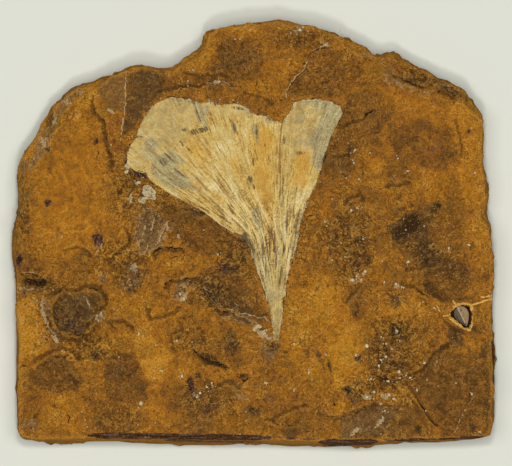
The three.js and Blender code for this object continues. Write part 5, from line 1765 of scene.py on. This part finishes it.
bmesh.ops.rotate(seed_mesh, verts=seed_mesh.verts, cent=(0, 0, 0), matrix=spin)
lowest = min(vertex.co.z for vertex in seed_mesh.verts)
seat = (SEED_MIDDLE[0] + 0.1, SEED_MIDDLE[1], seed_low.z / MM - lowest)
bmesh.ops.translate(seed_mesh, verts=seed_mesh.verts, vec=seat)
bmesh.ops.scale(seed_mesh, verts=seed_mesh.verts, vec=(MM, MM, MM))
bmesh.ops.recalc_face_normals(seed_mesh, faces=seed_mesh.faces)
seed = finished("seed_drop", seed_mesh, "seed")
print("seed", [round(v / MM, 2) for v in (*seed_low, *seed_high)])

# %% [markdown]
# Its coat is dark, with painted light on the half that faces right and painted shade round its
# edge. The keel is the palest line.

# %% The seed's finish
seed_finish = Finish("seed_coat", Specular_IOR_Level=0.25)
where = seed_finish.place()
small = seed_finish.grain(where, 0.9, 4, 0.6)
fine = seed_finish.grain(where, 0.3, 3, 0.6)
# Painted light on the right half of the coat.
painted_light_half = (seed_finish.mask("right_side") + 1.2 * (small - 0.5)).step(-0.12, 0.10)
seed_finish.color = seed_finish.mix(painted_light_half, (0.115, 0.080, 0.044), (0.300, 0.196, 0.102))
seed_finish.color = seed_finish.shade(seed_finish.color, 0.1 + 1.2 * fine + 0.6 * small)
ridged = (seed_finish.mask("keel") + 1.2 * (fine - 0.5)).step(0.35, 0.8)
seed_finish.lay(ridged * 0.75, (0.54, 0.40, 0.22))
grooved = (seed_finish.mask("groove") + 0.8 * (fine - 0.5)).step(0.3, 0.6)
seed_finish.lay(grooved * 0.9, (0.022, 0.015, 0.010))
# Painted shade round the edge.
edge_painted_shade = (seed_finish.mask("edge") + 0.5 * (fine - 0.5)).step(0.3, 0.7)
seed_finish.lay(edge_painted_shade * 0.95, (0.010, 0.007, 0.005))
seed.data.materials.clear()
seed.data.materials.append(seed_finish.wear(0.55 + 0.3 * fine, 0.6 * small + 0.4 * fine, 0.15))
print("seed coat", len(seed_finish.tree.nodes), "nodes")

# %% [markdown]
# White grains of mineral are scattered over the face, thickest at the lower right. Each is a
# lump with twenty faces, so a few hundred of them cost little, and they stand on the rock where
# a ray from above meets it. The larger ones have three crumbs of their own beside them.

# %% White grains
# Each grain: middle and, if it is larger than a point, its two half sizes.
GRAINS_PX = [
    (139, 334, 1.2, 3), (141, 403, 2.4, 2.8), (82, 412), (85, 420), (87, 427), (156, 345),
    (161, 371, 2.6, 1.2), (155, 378), (155, 423, 1.2, 1), (138, 425), (62, 351), (119, 357),
    (177, 341, 1.6, 1.6), (182, 376, 1.4, 2.2), (188, 86), (200, 393, 2, 2), (207, 387, 2, 1.6),
    (212, 383, 1.6, 1.6), (197, 397, 1.6, 1.6), (192, 342, 1, 1.2), (246, 412), (240, 434, 1.2, 1),
    (294, 344, 1.8, 1.6), (294, 389, 1.4, 1.4), (309, 372, 1.2, 3.2), (312, 380),
    (326, 355, 1.6, 1), (302, 190), (306, 207, 1.2, 1.2), (302, 263), (325, 222, 1.2, 1.4),
    (327, 226), (351, 210, 2, 2), (357, 208, 2, 1.4), (362, 207), (332, 199), (328, 248, 1.2, 1),
    (332, 260), (345, 257, 1.2, 1), (341, 243), (363, 239, 1.6, 1.2), (352, 280, 3, 2),
    (357, 276, 2, 2), (365, 272, 2, 2), (361, 280, 2, 1), (382, 261, 1.4, 1), (384, 283, 1.4, 1.2),
    (396, 284, 2.4, 1.8), (402, 287, 2, 1), (406, 230), (424, 226, 1, 1.4), (408, 262, 2.4, 2.2),
    (449, 248, 1.6, 2), (469, 245, 1.8, 1.6), (404, 219), (348, 143), (355, 150, 1.4, 1.6),
    (354, 163, 1.4, 1.6), (346, 178, 1.2, 1), (359, 179, 1.4, 1.2), (351, 153),
    (398, 158, 1.4, 1.2), (408, 171, 2, 1.4), (424, 172), (475, 173, 1.4, 1.2), (480, 186, 1.2, 1),
    (350, 176), (370, 153), (338, 139), (288, 24), (279, 28, 1.2, 1), (300, 30, 3, 2),
    (303, 27, 1.2, 1), (308, 31), (291, 33), (235, 39, 1.4, 1), (240, 39, 1.2, 1), (250, 30),
    (326, 45, 3, 2), (219, 82, 2.6, 2), (188, 81), (193, 70, 2.4, 1), (367, 346, 2.4, 2.6),
    (356, 355, 1.4, 2.4), (386, 344, 1.6, 1.6), (392, 349, 1.4, 1.6), (386, 357, 2.2, 1.8),
    (381, 360, 2, 1.6), (379, 366, 1.4, 2.4), (383, 338), (399, 372, 2.2, 2.4), (400, 378, 2, 1.6),
    (410, 378, 2.2, 1.6), (406, 375, 1.4, 1.4), (388, 381, 3, 1.4), (397, 382, 1.4, 1),
    (371, 379, 1.8, 1.4), (362, 377), (353, 387, 1.2, 1), (367, 397, 3, 2), (374, 392, 2, 2),
    (389, 395, 2.2, 2.4), (394, 399, 2.4, 1.6), (381, 404, 1.6, 1), (385, 411, 1.4, 1.4),
    (383, 418, 1, 2), (424, 363, 2.4, 1.4), (437, 362, 1.2, 1.4), (427, 380), (417, 390, 1.4, 2),
    (456, 383), (438, 386), (413, 399), (381, 434), (387, 427), (472, 394, 1.2, 2.4),
    (426, 411, 1, 1.2), (480, 432, 2.4, 0.8), (397, 331, 1.8, 2.6), (381, 337), (400, 341, 1, 2),
    (266, 383, 2.6, 1.0), (111, 145), (62, 237), (101, 313, 1.2, 1.6), (104, 319), (98, 321),
    (45, 291), (38, 290), (24, 288), (53, 290), (180, 294, 1.6, 2.2), (184, 299, 2, 2.6),
    (204, 230, 1.2, 1.2), (218, 255, 1.6, 1.2), (472, 128), (340, 31), (420, 316),
    (423, 302, 1.4, 1), (434, 308, 1.2, 1.6),
]
GRAIN_SHARE = 0.8  # the white of a grain looks wider than it is
LARGE_GRAIN = 1.5  # product of the half sizes from which a grain has crumbs

grains = bmesh.new()
chance = np.random.default_rng(5)
for number, (px, py, *size) in enumerate(GRAINS_PX):
    wide, tall = size or (1, 1)
    half_x = GRAIN_SHARE * wide / POINTS_PER_MM
    half_y = GRAIN_SHARE * tall / POINTS_PER_MM
    gx, gy, gz = ground_at(px, py)
    add_lump(grains, (gx, gy, gz + 0.02), (half_x, half_y, 0.5 * min(half_x, half_y)), number)
    for _ in range(3 if wide * tall > LARGE_GRAIN else 0):
        gx, gy, gz = ground_at(*(np.array((px, py)) + chance.normal(0, 1.1, 2) * (wide, tall)))
        half = 0.09 + 0.09 * chance.random()
        add_lump(grains, (gx, gy, gz + 0.02), (half, half, 0.6 * half), len(grains.verts))
bmesh.ops.recalc_face_normals(grains, faces=grains.faces)
grain_piece = finished("white_grains", grains)
grain_finish = Finish("white_mineral", Specular_IOR_Level=0.3)
where = grain_finish.place()
fine = grain_finish.grain(where, 0.5, 3, 0.6)
grain_finish.color = grain_finish.ramp(fine, [
    (0.3, (0.34, 0.24, 0.11)),
    (0.5, (0.60, 0.49, 0.28)),
    (0.7, (0.74, 0.66, 0.46)),
])
grain_piece.data.materials.append(grain_finish.wear(0.45 + 0.4 * fine, fine, 0.08))
print("grains", len(grain_piece.data.polygons), "faces")

# %% [markdown]
# The studio is a copy stand. A pale floor lies under the slab, and four soft lamps stand round the
# camera. Each lamp throws a short shadow to its far side, and the other three fill it.

# %% Floor and lamps
FLOOR_SIZE = 4.0
floor_mesh = bmesh.new()
bmesh.ops.create_grid(floor_mesh, x_segments=1, y_segments=1, size=FLOOR_SIZE / 2)
floor_data = bpy.data.meshes.new("floor")
floor_mesh.to_mesh(floor_data)
floor_mesh.free()
floor = bpy.data.objects.new("floor", floor_data)
scene.collection.objects.link(floor)
floor_looks = {"Base_Color": (0.70, 0.715, 0.63, 1), "Roughness": 0.9, "Specular_IOR_Level": 0.0}
floor_finish = Finish("pale_floor", **floor_looks)
floor_data.materials.append(floor_finish.material)


def lamp(name, place, size, power):
    """A square soft lamp that looks at the slab."""
    light = bpy.data.lights.new(name, "AREA")
    light.shape = "SQUARE"
    light.size = size
    light.energy = power
    made = bpy.data.objects.new(name, light)
    made.location = place
    made.rotation_euler = (-Vector(place)).to_track_quat("-Z", "Y").to_euler()
    scene.collection.objects.link(made)


lamp("left_lamp", (-0.20, 0, 1.2), 0.36, 3.5)
lamp("right_lamp", (0.16, 0, 1.2), 0.32, 3.9)
lamp("front_lamp", (0, -0.28, 1.2), 0.12, 3.4)
lamp("back_lamp", (0, 0.14, 1.2), 0.10, 3.5)
world = bpy.data.worlds.new("pale_sky")
world.use_nodes = True
sky = world.node_tree.nodes["Background"]
sky.inputs["Color"].default_value = (1.0, 1.0, 1.0, 1)
sky.inputs["Strength"].default_value = 0.10
scene.world = world
print("lamps", [light.name for light in bpy.data.lights])

# %% [markdown]
# The camera looks straight down, and its frame is 128 mm wide at the face. It stands far away, so
# the sides of the slab hardly show.

# %% The camera
CAMERA_HEIGHT = 2515.0
FRAME_WIDTH = 128.0
SENSOR_WIDTH = 36.0
camera_data = bpy.data.cameras.new("camera")
camera_data.sensor_width = SENSOR_WIDTH
camera_data.lens = SENSOR_WIDTH * (CAMERA_HEIGHT - LEVEL) / FRAME_WIDTH
camera_data.clip_end = 10.0
camera = bpy.data.objects.new("camera", camera_data)
camera.location = (0.5 * MM, 0.25 * MM, CAMERA_HEIGHT * MM)
scene.collection.objects.link(camera)
scene.camera = camera
scene.view_settings.view_transform = "Standard"
print("lens", round(camera_data.lens), "mm")
